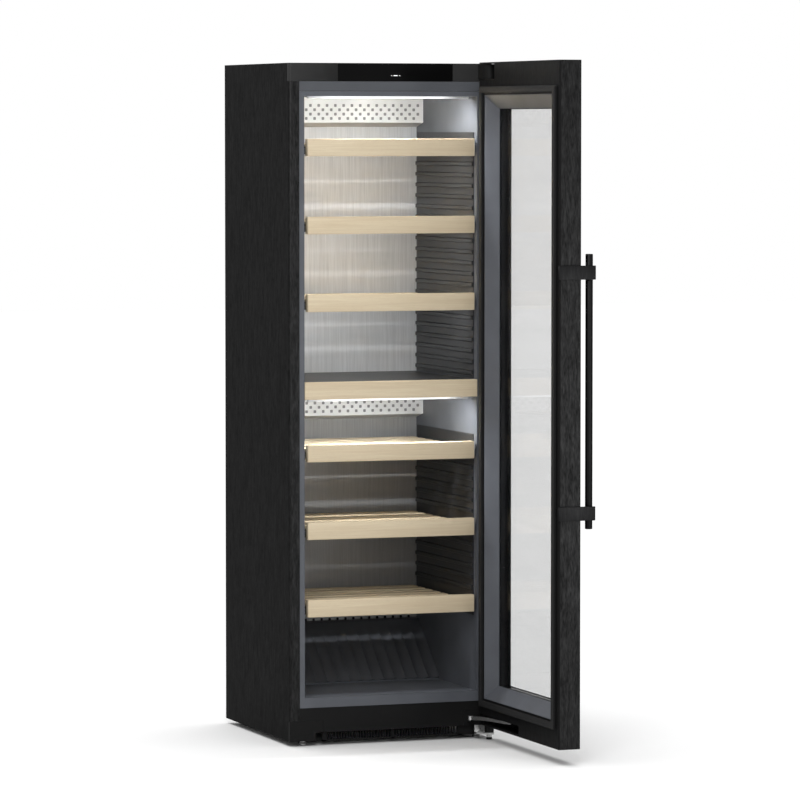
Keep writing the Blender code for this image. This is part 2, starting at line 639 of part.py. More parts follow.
def rear_roller(name, side, cabinet):
    x, y = side * ROLLER_PLACE[0], ROLLER_PLACE[1]
    axis = pivot(name + "_axis", cabinet, (x, y, ROLLER_RADIUS))
    bore, rim, flat = ROLLER_AXLE + RUNNING_GAP, ROLLER_RADIUS, ROLLER_CHAMFER
    low, high = x - ROLLER_WIDTH / 2, x + ROLLER_WIDTH / 2
    profile = [(bore, low), (rim - flat, low), (rim, low + flat), (rim, high - flat),
               (rim - flat, high), (bore, high), (bore, low)]
    roller = turned(name, "X", (y, ROLLER_RADIUS), profile)
    return attach(roller, axis, "black_plastic", smooth=True)


# ---- inside the cabinet ---------------------------------------------------------------------
def side_rack(name, side, span, tops, cabinet):
    """A ribbed wall panel with a ledge under and over each shelf runner."""
    wall = CAVITY_HALF - GAP
    plate, rib = wall - RACK_PLATE, wall - RACK_PLATE - RIB_PROUD
    ledges = []
    for top in tops:
        under = runner_bottom(top) - GAP
        over = runner_bottom(top) + RUNNER_HEIGHT + RUNNING_GAP
        ledges += [(under - LEDGE_THICKNESS, under), (over, over + LEDGE_THICKNESS)]
    steps = [(low, high, wall - LEDGE_REACH, 0.0) for low, high in ledges]
    centre = span[0] + RIB_PITCH / 2
    while centre + RIB_HEIGHT / 2 < span[1]:
        low, high = centre - RIB_HEIGHT / 2, centre + RIB_HEIGHT / 2
        if all(high < under - OVERLAP or low > over + OVERLAP for under, over in ledges):
            steps.append((low, high, rib, RIB_SLANT))
        centre += RIB_PITCH
    outline = [(wall, span[1]), (wall, span[0]), (plate, span[0])]
    for low, high, reach, slant in sorted(steps):
        outline += [(plate, low), (reach, low + slant), (reach, high - slant), (plate, high)]
    outline.append((plate, span[1]))
    outline = [(side * x, z) for x, z in outline]
    rack = prism(name, outline, "Y", RACK_FRONT, CAVITY_DEPTH - RACK_BACK_ROOM)
    return attach(rack, cabinet, "dark_plastic")


def runner_bottom(shelf_top):
    """Height of the underside of a shelf's steel runner."""
    return shelf_top - SLAT_DROP - SLAT_THICKNESS - STRINGER_HEIGHT - RUNNER - GAP


def back_plate(name, bottom, top, cabinet):
    back = CAVITY_DEPTH - GAP
    plate = block(name, (-CAVITY_HALF + GAP, back - BACK_PLATE, bottom),
                  (CAVITY_HALF - GAP, back, top))
    return attach(plate, cabinet, "brushed_steel")


def air_cover(name, top, cabinet):
    """The fan cover at the top of a zone: a front plate and a sloping underside."""
    front, wall = AIR_BOX_FRONT, AIR_BOX_WALL
    bottom = top - AIR_BOX_HEIGHT
    back = CAVITY_DEPTH - BACK_PLATE - 2 * GAP
    drop = bottom - AIR_BOX_DROP
    outline = [(front, top), (front, bottom), (back, drop),
               (back, drop + wall), (front + wall, bottom + wall), (front + wall, top)]
    half = CAVITY_HALF - GAP
    cover = prism(name, outline, "X", -half, half)
    return attach(cover, cabinet, "pale_plastic")


def led_strip(name, ceiling, cabinet):
    strip = block(name, (-LED_HALF_WIDTH, LED_FRONT, ceiling - GAP - LED_HEIGHT),
                  (LED_HALF_WIDTH, LED_FRONT + LED_DEPTH, ceiling - GAP))
    return attach(rounded(strip, SOFT_EDGE), cabinet, "led")


def zone_divider(cabinet):
    """The insulated slab between the zones and its fixed wooden front."""
    half = CAVITY_HALF - GAP
    front = STRIP_THICKNESS - STRIP_PROUD + GAP
    slab = block("zone_divider", (-half, front, DIVIDER_BOTTOM + GAP),
                 (half, CAVITY_DEPTH - BACK_PLATE - 2 * GAP, DIVIDER_TOP - GAP))
    attach(rounded(slab, SOFT_EDGE), cabinet, "dark_plastic")
    strip = block("divider_front", (-half, -STRIP_PROUD, DIVIDER_BOTTOM),
                  (half, front - GAP, DIVIDER_TOP))
    attach(rounded(strip, WOOD_EDGE), cabinet, "wood")


def shelf(number, top, cabinet):
    """A slatted wooden tray on a steel runner frame, which slides out of the cabinet."""
    name = f"shelf_{number}"
    slide = pivot(name + "_slide", cabinet, (0, 0, top))
    half, back = SHELF_HALF_WIDTH, STRIP_THICKNESS - STRIP_PROUD
    end = CAVITY_DEPTH - SHELF_BACK_ROOM
    slat_top = top - SLAT_DROP
    slat_low = slat_top - SLAT_THICKNESS
    side = CAVITY_HALF - LEDGE_REACH - LEDGE_CLEARANCE
    tray = block(name + "_tray", (-half, -STRIP_PROUD, top - STRIP_HEIGHT), (half, back, top))
    for turn in (-1, 1):
        low, high = sorted((turn * (half - STRINGER_INSET),
                            turn * (half - STRINGER_INSET - STRINGER_WIDTH)))
        stringer = block("stringer", (low, back - OVERLAP, slat_low - STRINGER_HEIGHT),
                         (high, end, slat_low + OVERLAP))
        join(tray, stringer)
    pitch = (end - back - SLAT_WIDTH) / (SLAT_COUNT - 1)
    for slat in range(SLAT_COUNT):
        start = back + max(slat * pitch, FIRST_SLAT_GAP)
        join(tray, block("slat", (-side, start, slat_low), (side, start + SLAT_WIDTH, slat_top)))
    attach(tray, slide, "wood")

    low = runner_bottom(top)
    high = low + RUNNER_HEIGHT
    start = back + GAP
    frame_back = end + RUNNER_TAIL
    frame = block(name + "_runners", (-half + OVERLAP, frame_back - RUNNER, low),
                  (half - OVERLAP, frame_back, high))
    inside = half - RUNNER_FOOT
    for turn in (-1, 1):
        outline = [(turn * x, z) for x, z in (
            (half - GAP, low), (half - GAP, high), (half - GAP - RUNNER, high),
            (half - GAP - RUNNER, low + RUNNER), (inside, low + RUNNER), (inside, low))]
        join(frame, prism("runner", outline, "Y", start, frame_back))
    reach = inside + OVERLAP
    for place in (start + TIE_INSETS[0], frame_back - TIE_INSETS[1] - TIE_WIDTH):
        join(frame, block("tie", (-reach, place, low), (reach, place + TIE_WIDTH, low + RUNNER)))
    attach(frame, slide, "galvanised_steel")


# ---- the door -------------------------------------------------------------------------------
def door_frame(door):
    """The black frame, with the window, the top hinge's pocket, the arm's slot and pin bores."""
    frame = block("door_frame", (-HALF, DOOR_OUTER, DOOR_BOTTOM), (HALF, DOOR_INNER, DOOR_TOP))
    rounding = frame.modifiers.new("edges", "BEVEL")
    rounding.width = EDGE_BEVEL
    rounding.segments = 2
    view = bpy.context.evaluated_depsgraph_get()
    frame.data = bpy.data.meshes.new_from_object(frame.evaluated_get(view))
    frame.modifiers.clear()
    window = block("window", (-WINDOW_HALF, DOOR_OUTER - OVERLAP, WINDOW_BOTTOM),
                   (WINDOW_HALF, DOOR_INNER + OVERLAP, WINDOW_TOP))
    roof = DOOR_TOP - NOTCH_ROOF
    pocket_floor = roof - NOTCH_HEIGHT
    pocket = block("pocket", (HALF - NOTCH_LENGTH, DOOR_INNER - NOTCH_DEPTH, pocket_floor),
                   (HALF + OVERLAP, DOOR_INNER + OVERLAP, roof))
    slot = [(-SLOT_NEAR, SLOT_OPENING), (-SLOT_NEAR, 0.0), (-SLOT_RAMP, -SLOT_DEPTH),
            (-SLOT_FAR, -SLOT_DEPTH), (-SLOT_FAR, SLOT_OPENING)]
    slot = [(HINGE_X + x, DOOR_INNER + y) for x, y in slot]
    channel = prism("slot", slot, "Z", SLOT_BOTTOM, SLOT_TOP)
    axis = (HINGE_X, HINGE_Y)
    bore = PIN_RADIUS + RUNNING_GAP
    upper = rod("bore", "Z", axis, bore, pocket_floor - PIN_BITE - PIN_END,
                pocket_floor + OVERLAP)
    boss = rod("boss", "Z", axis, BOSS_RADIUS, BOTTOM_PLATE_Z + HINGE_PLATE + BEARING_GAP,
               DOOR_BOTTOM + OVERLAP, 32)
    cut(frame, window, pocket, channel)
    join(frame, boss)
    lower = rod("bore", "Z", axis, bore, 0.0, DOOR_BOTTOM + LOWER_PIN_BITE + PIN_END)
    cut(frame, upper, lower)
    return attach(frame, door, "brushed_black_steel")


def door_inner_frame(door):
    """The grey funnel between the frame's inner face and the glass."""
    outer = (WINDOW_HALF - GAP, WINDOW_BOTTOM + GAP, WINDOW_TOP - GAP)
    inner = (WINDOW_HALF - FUNNEL_WIDTH, WINDOW_BOTTOM + FUNNEL_WIDTH, WINDOW_TOP - FUNNEL_WIDTH)
    deep = DOOR_INNER - FUNNEL_DEPTH
    rim = FUNNEL_LIP / FUNNEL_WIDTH
    section = [(0, deep), (1, deep), (1, deep + FUNNEL_LIP), (rim, DOOR_INNER), (0, DOOR_INNER)]
    frame = picture_frame("door_inner_frame", outer, inner, section)
    return attach(frame, door, "grey_plastic")


def door_panes(door):
    """Outer pane, inner pane and the opaque spacer between them."""
    half, low, high = WINDOW_HALF - GAP, WINDOW_BOTTOM + GAP, WINDOW_TOP - GAP
    outer_face = DOOR_OUTER + GLASS_SETBACK
    outer = block("door_outer_glass", (-half, outer_face, low), (half, outer_face + PANE, high))
    attach(outer, door, "clear_glass")
    inner_face = DOOR_INNER - FUNNEL_DEPTH - GAP
    inner = block("door_inner_glass", (-half, inner_face - PANE, low), (half, inner_face, high))
    attach(inner, door, "clear_glass")
    front, back = outer_face + PANE + GAP, inner_face - PANE - GAP
    inside = (WINDOW_HALF - FUNNEL_WIDTH, WINDOW_BOTTOM + FUNNEL_WIDTH, WINDOW_TOP - FUNNEL_WIDTH)
    section = [(0, front), (1, front), (1, back), (0, back)]
    spacer = picture_frame("door_glass_spacer", (half, low, high), inside, section)
    attach(spacer, door, "black_plastic")


def door_gasket(door):
    """The soft magnetic seal round the funnel."""
    near = GASKET_MARGIN
    inner = (WINDOW_HALF + near, WINDOW_BOTTOM - near, WINDOW_TOP + near)
    far = near + GASKET_WIDTH
    outer = (WINDOW_HALF + far, WINDOW_BOTTOM - far, WINDOW_TOP + far)
    base = DOOR_INNER + GAP
    tip = base + GASKET_HEIGHT
    neck, shoulder = base + GASKET_FOOT, tip - GASKET_SHOULDER
    section = [(0.15, base), (0.85, base), (0.85, neck), (1, shoulder), (0.88, tip),
               (0.12, tip), (0, shoulder), (0.15, neck)]
    gasket = picture_frame("door_gasket", outer, inner, section)
    return attach(gasket, door, "rubber")


def top_hinge(cabinet):
    """Plate on the body, arm into the door's pocket and a pin down into the door."""
    floor = DOOR_TOP - NOTCH_ROOF - NOTCH_HEIGHT
    low = floor + NOTCH_HEIGHT / 2 - HINGE_PLATE / 2
    face = -GAP
    left, right = HINGE_X - TOP_PLATE_LEFT, HALF - PLATE_EDGE_MARGIN
    plate = block("top_hinge_bracket", (left, face - HINGE_SHEET, RAIL_TOP + TOP_PLATE_MARGIN),
                  (right, face, CABINET_HEIGHT - PLATE_EDGE_MARGIN))
    half = HINGE_ARM_HALF
    outline = [(HINGE_X + half, face - HINGE_SHEET / 2), (HINGE_X + half, HINGE_Y)]
    outline += arc((HINGE_X, HINGE_Y), half, 0, -180, 12)[1:]
    outline += [(HINGE_X - half, face - HINGE_SHEET / 2)]
    arm = prism("arm", outline, "Z", low, low + HINGE_PLATE)
    pin = rod("pin", "Z", (HINGE_X, HINGE_Y), PIN_RADIUS, floor - PIN_BITE, low + OVERLAP)
    join(plate, arm, pin)
    return attach(plate, cabinet, "black_enamel")


def bottom_hinge(cabinet):
    """Cover on the body with the closing arm's lug, and the steel bracket under the door."""
    low, high = HINGE_COVER_BOTTOM, HINGE_COVER_TOP
    cover = block("hinge_cover", (HINGE_COVER_LEFT, -HINGE_SHEET, low), (HALF, PANEL_DEPTH, high))
    x, y = ARM_PIVOT
    lug_low = SLOT_BOTTOM + BEARING_GAP
    lug_top = ARM_BOTTOM - GAP
    outline = [(x + ARM_EYE, 0.0), (x + ARM_EYE, y)]
    outline += arc((x, y), ARM_EYE, 0, -180, 10)[1:]
    outline += [(x - ARM_EYE, 0.0)]
    lug = prism("lug", outline, "Z", lug_low, lug_top)
    pin_top = ARM_BOTTOM + ARM_HEIGHT + RUNNING_GAP
    pin = rod("pin", "Z", (x, y), ARM_PIN, lug_top - OVERLAP, pin_top, 16)
    join(cover, lug, pin)
    attach(cover, cabinet, "black_plastic")

    left, right = HINGE_X - BOTTOM_PLATE_LEFT, HALF - PLATE_EDGE_MARGIN
    root = -BOTTOM_PLATE_THICKNESS / 2
    plate = block("bottom_hinge_bracket",
                  (left, -BOTTOM_PLATE_THICKNESS, BOTTOM_PLATE_Z - HINGE_PLATE / 2),
                  (right, -GAP, HINGE_COVER_BOTTOM - GAP))
    step = BOTTOM_PLATE_Z + HINGE_PLATE
    axis = (HINGE_X, HINGE_Y)
    outline = [(left, root), (left, -BOTTOM_PLATE_STRAIGHT),
               (HINGE_X - BOTTOM_PLATE_SHOULDER, HINGE_Y - BOTTOM_PLATE_NOSE / 2)]
    outline += arc(axis, BOTTOM_PLATE_NOSE, -140, 0, 10)
    outline += [(right, root)]
    shelf_plate = prism("plate", outline, "Z", BOTTOM_PLATE_Z, step)
    pin = rod("pin", "Z", axis, PIN_RADIUS, step - OVERLAP, DOOR_BOTTOM + LOWER_PIN_BITE)
    nut = rod("nut", "Z", axis, NUT_RADIUS, BOTTOM_PLATE_Z - NUT_HEIGHT,
              BOTTOM_PLATE_Z + OVERLAP, 12)
    join(plate, shelf_plate, pin, nut)
    attach(plate, cabinet, "bright_steel")


def closing_arm(cabinet):
    """A cranked steel lever: an eye on the body's lug and a tapered blade into the door's slot."""
    pivot_x, pivot_y = ARM_PIVOT
    axis = pivot("closing_arm_axis", cabinet, (pivot_x, pivot_y, ARM_BOTTOM))
    reach = Vector((ARM_TIP[0] - pivot_x, ARM_TIP[1] - pivot_y))
    length, angle = reach.length, math.atan2(reach.y, reach.x)
    rings = []
    bm = bmesh.new()
    start = ARM_EYE * ARM_ROOT
    for step in range(ARM_STEPS + 1):
        share = step / ARM_STEPS
        along = start + (length - start) * share
        width = ARM_THICKNESS / 2 * (1 - ARM_TAPER * share ** 3)
        tall = ARM_HEIGHT + (ARM_TIP_HEIGHT - ARM_HEIGHT) * share
        middle = ARM_BOTTOM + ARM_HEIGHT / 2 + ARM_RISE * math.sin(min(share * 2, 1) * math.pi / 2)
        corners = ((-width, -tall / 2), (width, -tall / 2), (width, tall / 2), (-width, tall / 2))
        rings.append([bm.verts.new((along, across, middle + up)) for across, up in corners])
    for here, there in zip(rings, rings[1:]):
        for side in range(4):
            after = (side + 1) % 4
            bm.faces.new((here[side], here[after], there[after], there[side]))
    bm.faces.new(rings[0])
    bm.faces.new(rings[-1])
    turn = Matrix.Translation((pivot_x, pivot_y, 0)) @ Matrix.Rotation(angle, 4, "Z")
    bmesh.ops.transform(bm, matrix=turn, verts=bm.verts)
    arm = new_object("closing_arm", bm)
    top = ARM_BOTTOM + ARM_HEIGHT
    eye = rod("eye", "Z", ARM_PIVOT, ARM_EYE, ARM_BOTTOM, top, 20)
    join(arm, eye)
    bore = rod("bore", "Z", ARM_PIVOT, ARM_PIN + RUNNING_GAP, ARM_BOTTOM - OVERLAP,
               top + ARM_RISE, 16)
    cut(arm, bore)
    return attach(arm, axis, "bright_steel", smooth=True)


def handle(door):
    """A round bar on two flat arms that lap the door's free edge and travel a few millimetres."""
    slide = pivot("handle_slide", door, (BAR_X, BAR_Y, (BAR_BOTTOM + BAR_TOP) / 2))
    radius, flat = BAR_RADIUS, BAR_CHAMFER
    profile = [(radius - flat, BAR_BOTTOM), (radius, BAR_BOTTOM + flat),
               (radius, BAR_TOP - flat), (radius - flat, BAR_TOP)]
    bar = turned("handle_bar", "Z", (BAR_X, BAR_Y), profile)
    attach(bar, slide, "satin_steel", smooth=True)
    outer_end = DOOR_OUTER - HANDLE_ARM_OUTER
    inner_end = DOOR_INNER + HANDLE_ARM_INNER
    turn = HANDLE_ARM_ROUND
    for name, centre in zip(("handle_arm_lower", "handle_arm_upper"), HANDLE_ARM_CENTRES):
        low, high = centre - HANDLE_ARM_HEIGHT / 2, centre + HANDLE_ARM_HEIGHT / 2
        outline = arc((outer_end + turn, high - turn), turn, 90, 180, 4)
        outline += arc((outer_end + turn, low + turn), turn, 180, 270, 4)
        outline += [(inner_end, low), (inner_end, high)]
        arm = prism(name, outline, "X", ARM_PLATE_X - HANDLE_ARM_THICKNESS, ARM_PLATE_X)
        attach(rounded(arm, SOFT_EDGE, 1), slide, "satin_steel")


# ---- cooling --------------------------------------------------------------------------------
def compressor(cabinet):
    """A domed pot on a square foot plate."""
    low = PAN_BOTTOM + PAN_SHEET + GAP
    x, y = COMPRESSOR_PLACE
    radius, top = COMPRESSOR_RADIUS, low + COMPRESSOR_HEIGHT
    waist, waist_height = COMPRESSOR_WAIST
    profile = [(waist, low + waist_height)]
    profile += [(radius, low + height) for height in COMPRESSOR_WIDEST]
    for angle in map(math.radians, (0, 30, 60, 80)):
        sunk = COMPRESSOR_DOME * (1 - math.sin(angle))
        profile.append((radius * math.cos(angle), top - sunk))
    pot = turned("compressor", "Z", (x, y), profile, 28)
    plate = block("feet", (x - radius, y - radius, low),
                  (x + radius, y + radius, low + COMPRESSOR_PLATE))
    join(pot, plate)
    attach(pot, cabinet, "black_enamel", smooth=True)

    width, depth, height = TRAY_SIZE
    tray_low = top + GAP
    tray = block("drip_tray", (x - width / 2, y - depth / 2, tray_low),
                 (x + width / 2, y + depth / 2, tray_low + height))
    wall = TRAY_WALL
    room = block("room", (x - width / 2 + wall, y - depth / 2 + wall, tray_low + wall),
                 (x + width / 2 - wall, y + depth / 2 - wall, tray_low + height + wall))
    attach(cut(tray, room), cabinet, "black_plastic")


def fan_rotor(name, axis, centre, radius, depth, parent, material):
    """A hub with pitched blades, on an axis along X or Y."""
    spin = pivot(name + "_axis", parent, centre)
    hub_radius = radius * HUB_SHARE
    others = [value for letter, value in zip("XYZ", centre) if letter != axis]
    middle = centre["XYZ".index(axis)]
    hub = rod(name, axis, others, hub_radius, middle - depth / 2, middle + depth / 2, 20)
    for number in range(BLADES):
        chord = radius * BLADE_CHORD_SHARE
        blade = block("blade", (hub_radius * BLADE_ROOT_SHARE, -chord / 2, -BLADE / 2),
                      (radius, chord / 2, BLADE / 2))
        pitch = Matrix.Rotation(math.radians(BLADE_PITCH), 4, "X")
        around = Matrix.Rotation(math.tau * number / BLADES, 4, "Z")
        lay = Matrix.Rotation(math.pi / 2, 4, "X" if axis == "Y" else "Y")
        blade.data.transform(Matrix.Translation(centre) @ lay @ around @ pitch)
        join(hub, blade)
    return attach(hub, spin, material, smooth=True)


def condenser(cabinet):
    """A block of fins on two bars, with a cowl plate for the fan on its inner end."""
    low = PAN_BOTTOM + PAN_SHEET + GAP
    width, depth, height = CONDENSER_SIZE
    left, back = CONDENSER_INSET[0] - HALF, BODY_DEPTH - CONDENSER_INSET[1]
    right, front, top = left + width, back - depth, low + height
    hole = FAN_RADIUS + FAN_SHROUD_GAP
    middle = ((front + back) / 2, (low + top) / 2)
    unit = block("condenser", (right, front, low), (right + COWL, back, top))
    cut(unit, rod("hole", "X", middle, hole, right - OVERLAP, right + COWL + OVERLAP, 28))
    inner_end = right - FAN_DEPTH - FAN_ROOM
    pitch = (inner_end - left - FIN) / (CONDENSER_FINS - 1)
    for number in range(CONDENSER_FINS):
        place = left + number * pitch
        join(unit, block("fin", (place, front, low), (place + FIN, back, top)))
    far = FIN_BAR + OVERLAP
    for y in (front + OVERLAP, back - far):
        for z in (low + OVERLAP, top - far):
            join(unit, block("bar", (left + OVERLAP, y, z),
                             (right + OVERLAP, y + FIN_BAR, z + FIN_BAR)))
    attach(unit, cabinet, "galvanised_steel")
    centre = (right - FAN_DEPTH / 2 - BEARING_GAP, *middle)
    fan_rotor("condenser_fan", "X", centre, FAN_RADIUS, FAN_DEPTH, cabinet, "black_plastic")


def power_inlet(cabinet):
    """The socket for the mains lead, on the back."""
    x, z = INLET_PLACE
    width, depth, height = INLET_SIZE
    start = REAR_PLATE_BACK + GAP
    inlet = block("power_inlet", (x - width / 2, start, z - height / 2),
                  (x + width / 2, start + depth, z + height / 2))
    wall = INLET_WALL
    mouth = block("mouth", (x - width / 2 + wall, start + wall, z - height / 2 + wall),
                  (x + width / 2 - wall, start + depth + wall, z + height / 2 - wall))
    attach(cut(inlet, mouth), cabinet, "black_plastic")


# ---- assembly -------------------------------------------------------------------------------
def clear_scene():
    for item in list(bpy.data.objects):
        bpy.data.objects.remove(item)


def box_centre():
    """Centre of the whole object's box seen from above, in the cabinet's frame."""
    reach = math.radians(DOOR_OPEN)
    corner_x = HINGE_X - (DOOR_OUTER - HANDLE_ARM_OUTER - HINGE_Y) * math.sin(reach)
    free_edge = ARM_PLATE_X - HANDLE_ARM_THICKNESS
    corner_y = HINGE_Y + (free_edge - HINGE_X) * math.sin(reach)
    rear = REAR_PLATE_BACK + GAP + INLET_SIZE[1]
    return (corner_x - HALF) / 2, (corner_y + rear) / 2


def build():
    clear_scene()
    cabinet = pivot("cabinet", None, (0, 0, 0))
    middle = box_centre()
    cabinet.location = (-middle[0], -middle[1], 0)

    housing_notch = (RAIL_TOP - GAP, CABINET_HEIGHT + OVERLAP)
    foot_notch = (0.0, FOOT_COVER_TOP + GAP)
    hinge_notch = (0.0, HINGE_COVER_TOP + GAP)
    side_panel("side_panel_left", -1, (housing_notch, foot_notch), cabinet)
    side_panel("side_panel_right", 1, (hinge_notch,), cabinet)
    top_cover(cabinet)
    rear_panel(cabinet)
    foam_body(cabinet)
    inner_liner(cabinet)
    front_trim(cabinet)
    base_pan(cabinet)
    for name, place in (("front_foot_left", FOOT_LEFT), ("front_foot_right", FOOT_RIGHT)):
        levelling_foot(name, place, cabinet)
    rear_roller("rear_roller_left", -1, cabinet)
    rear_roller("rear_roller_right", 1, cabinet)

    upper_rack = (DIVIDER_TOP + RACK_FOOT, UPPER_TOPS[0] + RACK_RISE)
    lower_rack = (LOWER_TOPS[-1] - RACK_FALL, LOWER_TOPS[0] + RACK_RISE)
    for side, word in ((-1, "left"), (1, "right")):
        side_rack(f"wall_rack_upper_{word}", side, upper_rack, UPPER_TOPS, cabinet)
        side_rack(f"wall_rack_lower_{word}", side, lower_rack, LOWER_TOPS, cabinet)
    zone_divider(cabinet)
    for zone, ceiling in (("upper", CAVITY_CEILING), ("lower", DIVIDER_BOTTOM)):
        top = ceiling - GAP
        air_cover(f"air_cover_{zone}", top, cabinet)
        led_strip(f"led_strip_{zone}", ceiling, cabinet)
        centre = (0.0, (AIR_BOX_FRONT + CAVITY_DEPTH) / 2, top - AIR_BOX_HEIGHT / 2)
        fan_rotor(f"evaporator_fan_{zone}", "Y", centre, EVAPORATOR_FAN_RADIUS, FAN_DEPTH,
                  cabinet, "black_plastic")
    back_plate("back_plate_upper", DIVIDER_TOP + GAP, CAVITY_CEILING - GAP, cabinet)
    back_plate("back_plate_lower", STEP_TOP + GAP, DIVIDER_BOTTOM - GAP, cabinet)
    for number, top in enumerate(UPPER_TOPS + LOWER_TOPS, 1):
        shelf(number, top, cabinet)

    compressor(cabinet)
    condenser(cabinet)
    power_inlet(cabinet)

    top_hinge(cabinet)
    bottom_hinge(cabinet)
    closing_arm(cabinet)
    door = pivot("door_hinge", cabinet, (HINGE_X, HINGE_Y, 0), math.radians(DOOR_OPEN))
    door_frame(door)
    door_inner_frame(door)
    door_panes(door)
    door_gasket(door)
    handle(door)


build()
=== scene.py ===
"""Looks of the two-zone wine cooler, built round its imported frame."""

import json
import math

import bmesh
import bpy
from mathutils import Matrix, Vector


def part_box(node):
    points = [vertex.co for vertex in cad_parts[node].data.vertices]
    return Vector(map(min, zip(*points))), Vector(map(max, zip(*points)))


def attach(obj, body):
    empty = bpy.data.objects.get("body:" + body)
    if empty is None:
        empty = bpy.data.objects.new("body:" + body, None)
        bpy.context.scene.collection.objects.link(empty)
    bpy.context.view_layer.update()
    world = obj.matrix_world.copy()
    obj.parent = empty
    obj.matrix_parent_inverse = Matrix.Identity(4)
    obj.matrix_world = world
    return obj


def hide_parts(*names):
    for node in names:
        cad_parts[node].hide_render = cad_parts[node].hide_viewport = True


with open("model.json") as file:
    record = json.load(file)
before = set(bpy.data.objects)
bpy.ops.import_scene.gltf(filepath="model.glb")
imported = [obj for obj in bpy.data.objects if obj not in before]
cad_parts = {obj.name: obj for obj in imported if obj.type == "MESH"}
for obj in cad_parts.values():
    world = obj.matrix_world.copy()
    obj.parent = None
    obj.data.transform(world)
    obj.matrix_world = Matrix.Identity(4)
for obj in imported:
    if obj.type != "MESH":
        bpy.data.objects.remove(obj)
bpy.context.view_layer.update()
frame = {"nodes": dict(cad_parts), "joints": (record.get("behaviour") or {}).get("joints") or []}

# ---- places read from the frame -------------------------------------------------------------
LEFT_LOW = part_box("side_panel_left")[0]
RIGHT_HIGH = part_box("side_panel_right")[1]
FRONT = LEFT_LOW.y
DOOR_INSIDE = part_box("door_frame")[0].x
HINGE = Vector(next(joint["pos_m"] for joint in frame["joints"] if joint["name"] == "door_hinge"))

# ---- sizes of what is added -----------------------------------------------------------------
SKIN_LIFT = 0.0002            # a printed or glued film stands this far off its backing
HOLE_HALF_PITCH = 0.0125      # perforated covers: holes lie on a chequerboard of this step
HOLE_ROW = 0.0123
HOLE_COLUMNS = 39
HOLE_ROWS = 4
HOLE_SIZE = 0.0082
COVER_SHEET = 0.0012
COVER_SLOPE = 0.012           # the underside rises to the front by this much
HOLES_DOWN = 0.0230           # from the cover's top to its first row of holes
BAFFLE_BEHIND = 0.0040        # the plate behind the holes, from the face of the cover
DRAIN_HOLES = 20
DRAIN_PITCH = 0.0242
DRAIN_HEIGHT = 0.0105         # above the lower end of the back plate
DRAIN_CELL = 0.016
DRAIN_SIZE = 0.0078
FLUTES = 15
FLUTE_DEPTH = 0.0052
STEP_FOOT = (0.300, 0.134)    # where the step's slope starts: behind the front, over the floor
STEP_BROW = (0.4745, 0.2861)  # and where it ends
STEP_LIP = 0.4872             # the cover's level top ends this far behind the front
BLACK_RIM = 0.0045            # the door's inner tray is black plastic up to this far from its face
FRIT = 0.0235                 # printed border inside the spacer, on the glass's two long sides
WOOD_EDGE = 0.0016
SLATS = 7
SLAT = (0.040, 0.010)
STRINGER = (0.022, 0.012)
STRINGER_INSET = 0.018
STRIP_DEPTH = 0.022
SLAT_HALF = 0.233             # half the length of a slat
SLAT_DROP = 0.014             # from the top of the wooden front to the slats
FIRST_SLAT = 0.048            # from the back of the wooden front to the first slat's middle
SCREW_HEAD = 0.0036
CORNER_RADIUS = 0.0055
SHROUD_RADIUS = 0.0220        # round the top hinge's arm, inside the door's pocket
SHROUD_NARROW = 0.0112        # its neck on the outer side, so that the door can open past square
SHROUD_NECK = 0.0190          # the neck starts this far behind the axis
SHROUD_LOW = 1.8412
SHROUD_HIGH = 1.8822

# ---- camera and light -----------------------------------------------------------------------
CAMERA_AZIMUTH = math.radians(20.01)
CAMERA_PITCH = math.radians(3.30)
CAMERA_PLACE = (-4.4600, -12.2180, 1.7039)
LENS = 211.8
FLOOR_SIZE = 60.0
AMBIENT = 0.53                # the surround's light on the object; it shows as plain white
FLOOR_BOUNCE = 0.35
OVERHEAD = 2.1
OVERHEAD_TILT = 13.0          # degrees; its shadow falls in front of the cabinet
OVERHEAD_SPREAD = 60.0        # degrees; how soft that shadow is
KEY_POWER = 62.0
FRONT_POWER = 16.0
BAY_POWER = 1.35              # under each shelf of the upper zone
LOWER_SHARE = 0.05            # of it, under each shelf of the lower zone
STRIP_POWERS = (("upper", 3.6), ("lower", 2.8))

# ---- colours, and grain in strokes per metre ------------------------------------------------
BLACK_STEEL = (0.031, 0.031, 0.0313)
BLACK_SLANT = 0.54            # its brightness where it is seen at a slant
BLACK_GRAIN = (430.0, 430.0, 72.0)
TOP_GRAIN = (430.0, 72.0, 430.0)    # on the top cover the strokes lie front to back
STAINLESS_GRAIN = (700.0, 700.0, 12.0)

# ---- material trees -------------------------------------------------------------------------
def new_node(tree, kind, inputs, properties):
    """A node with its properties set and its inputs linked, or given values."""
    made = tree.nodes.new(kind)
    for name, value in properties.items():
        setattr(made, name, value)
    for name, source in inputs:
        if isinstance(source, bpy.types.NodeSocket):
            tree.links.new(source, made.inputs[name])
        else:
            made.inputs[name].default_value = source
    return made

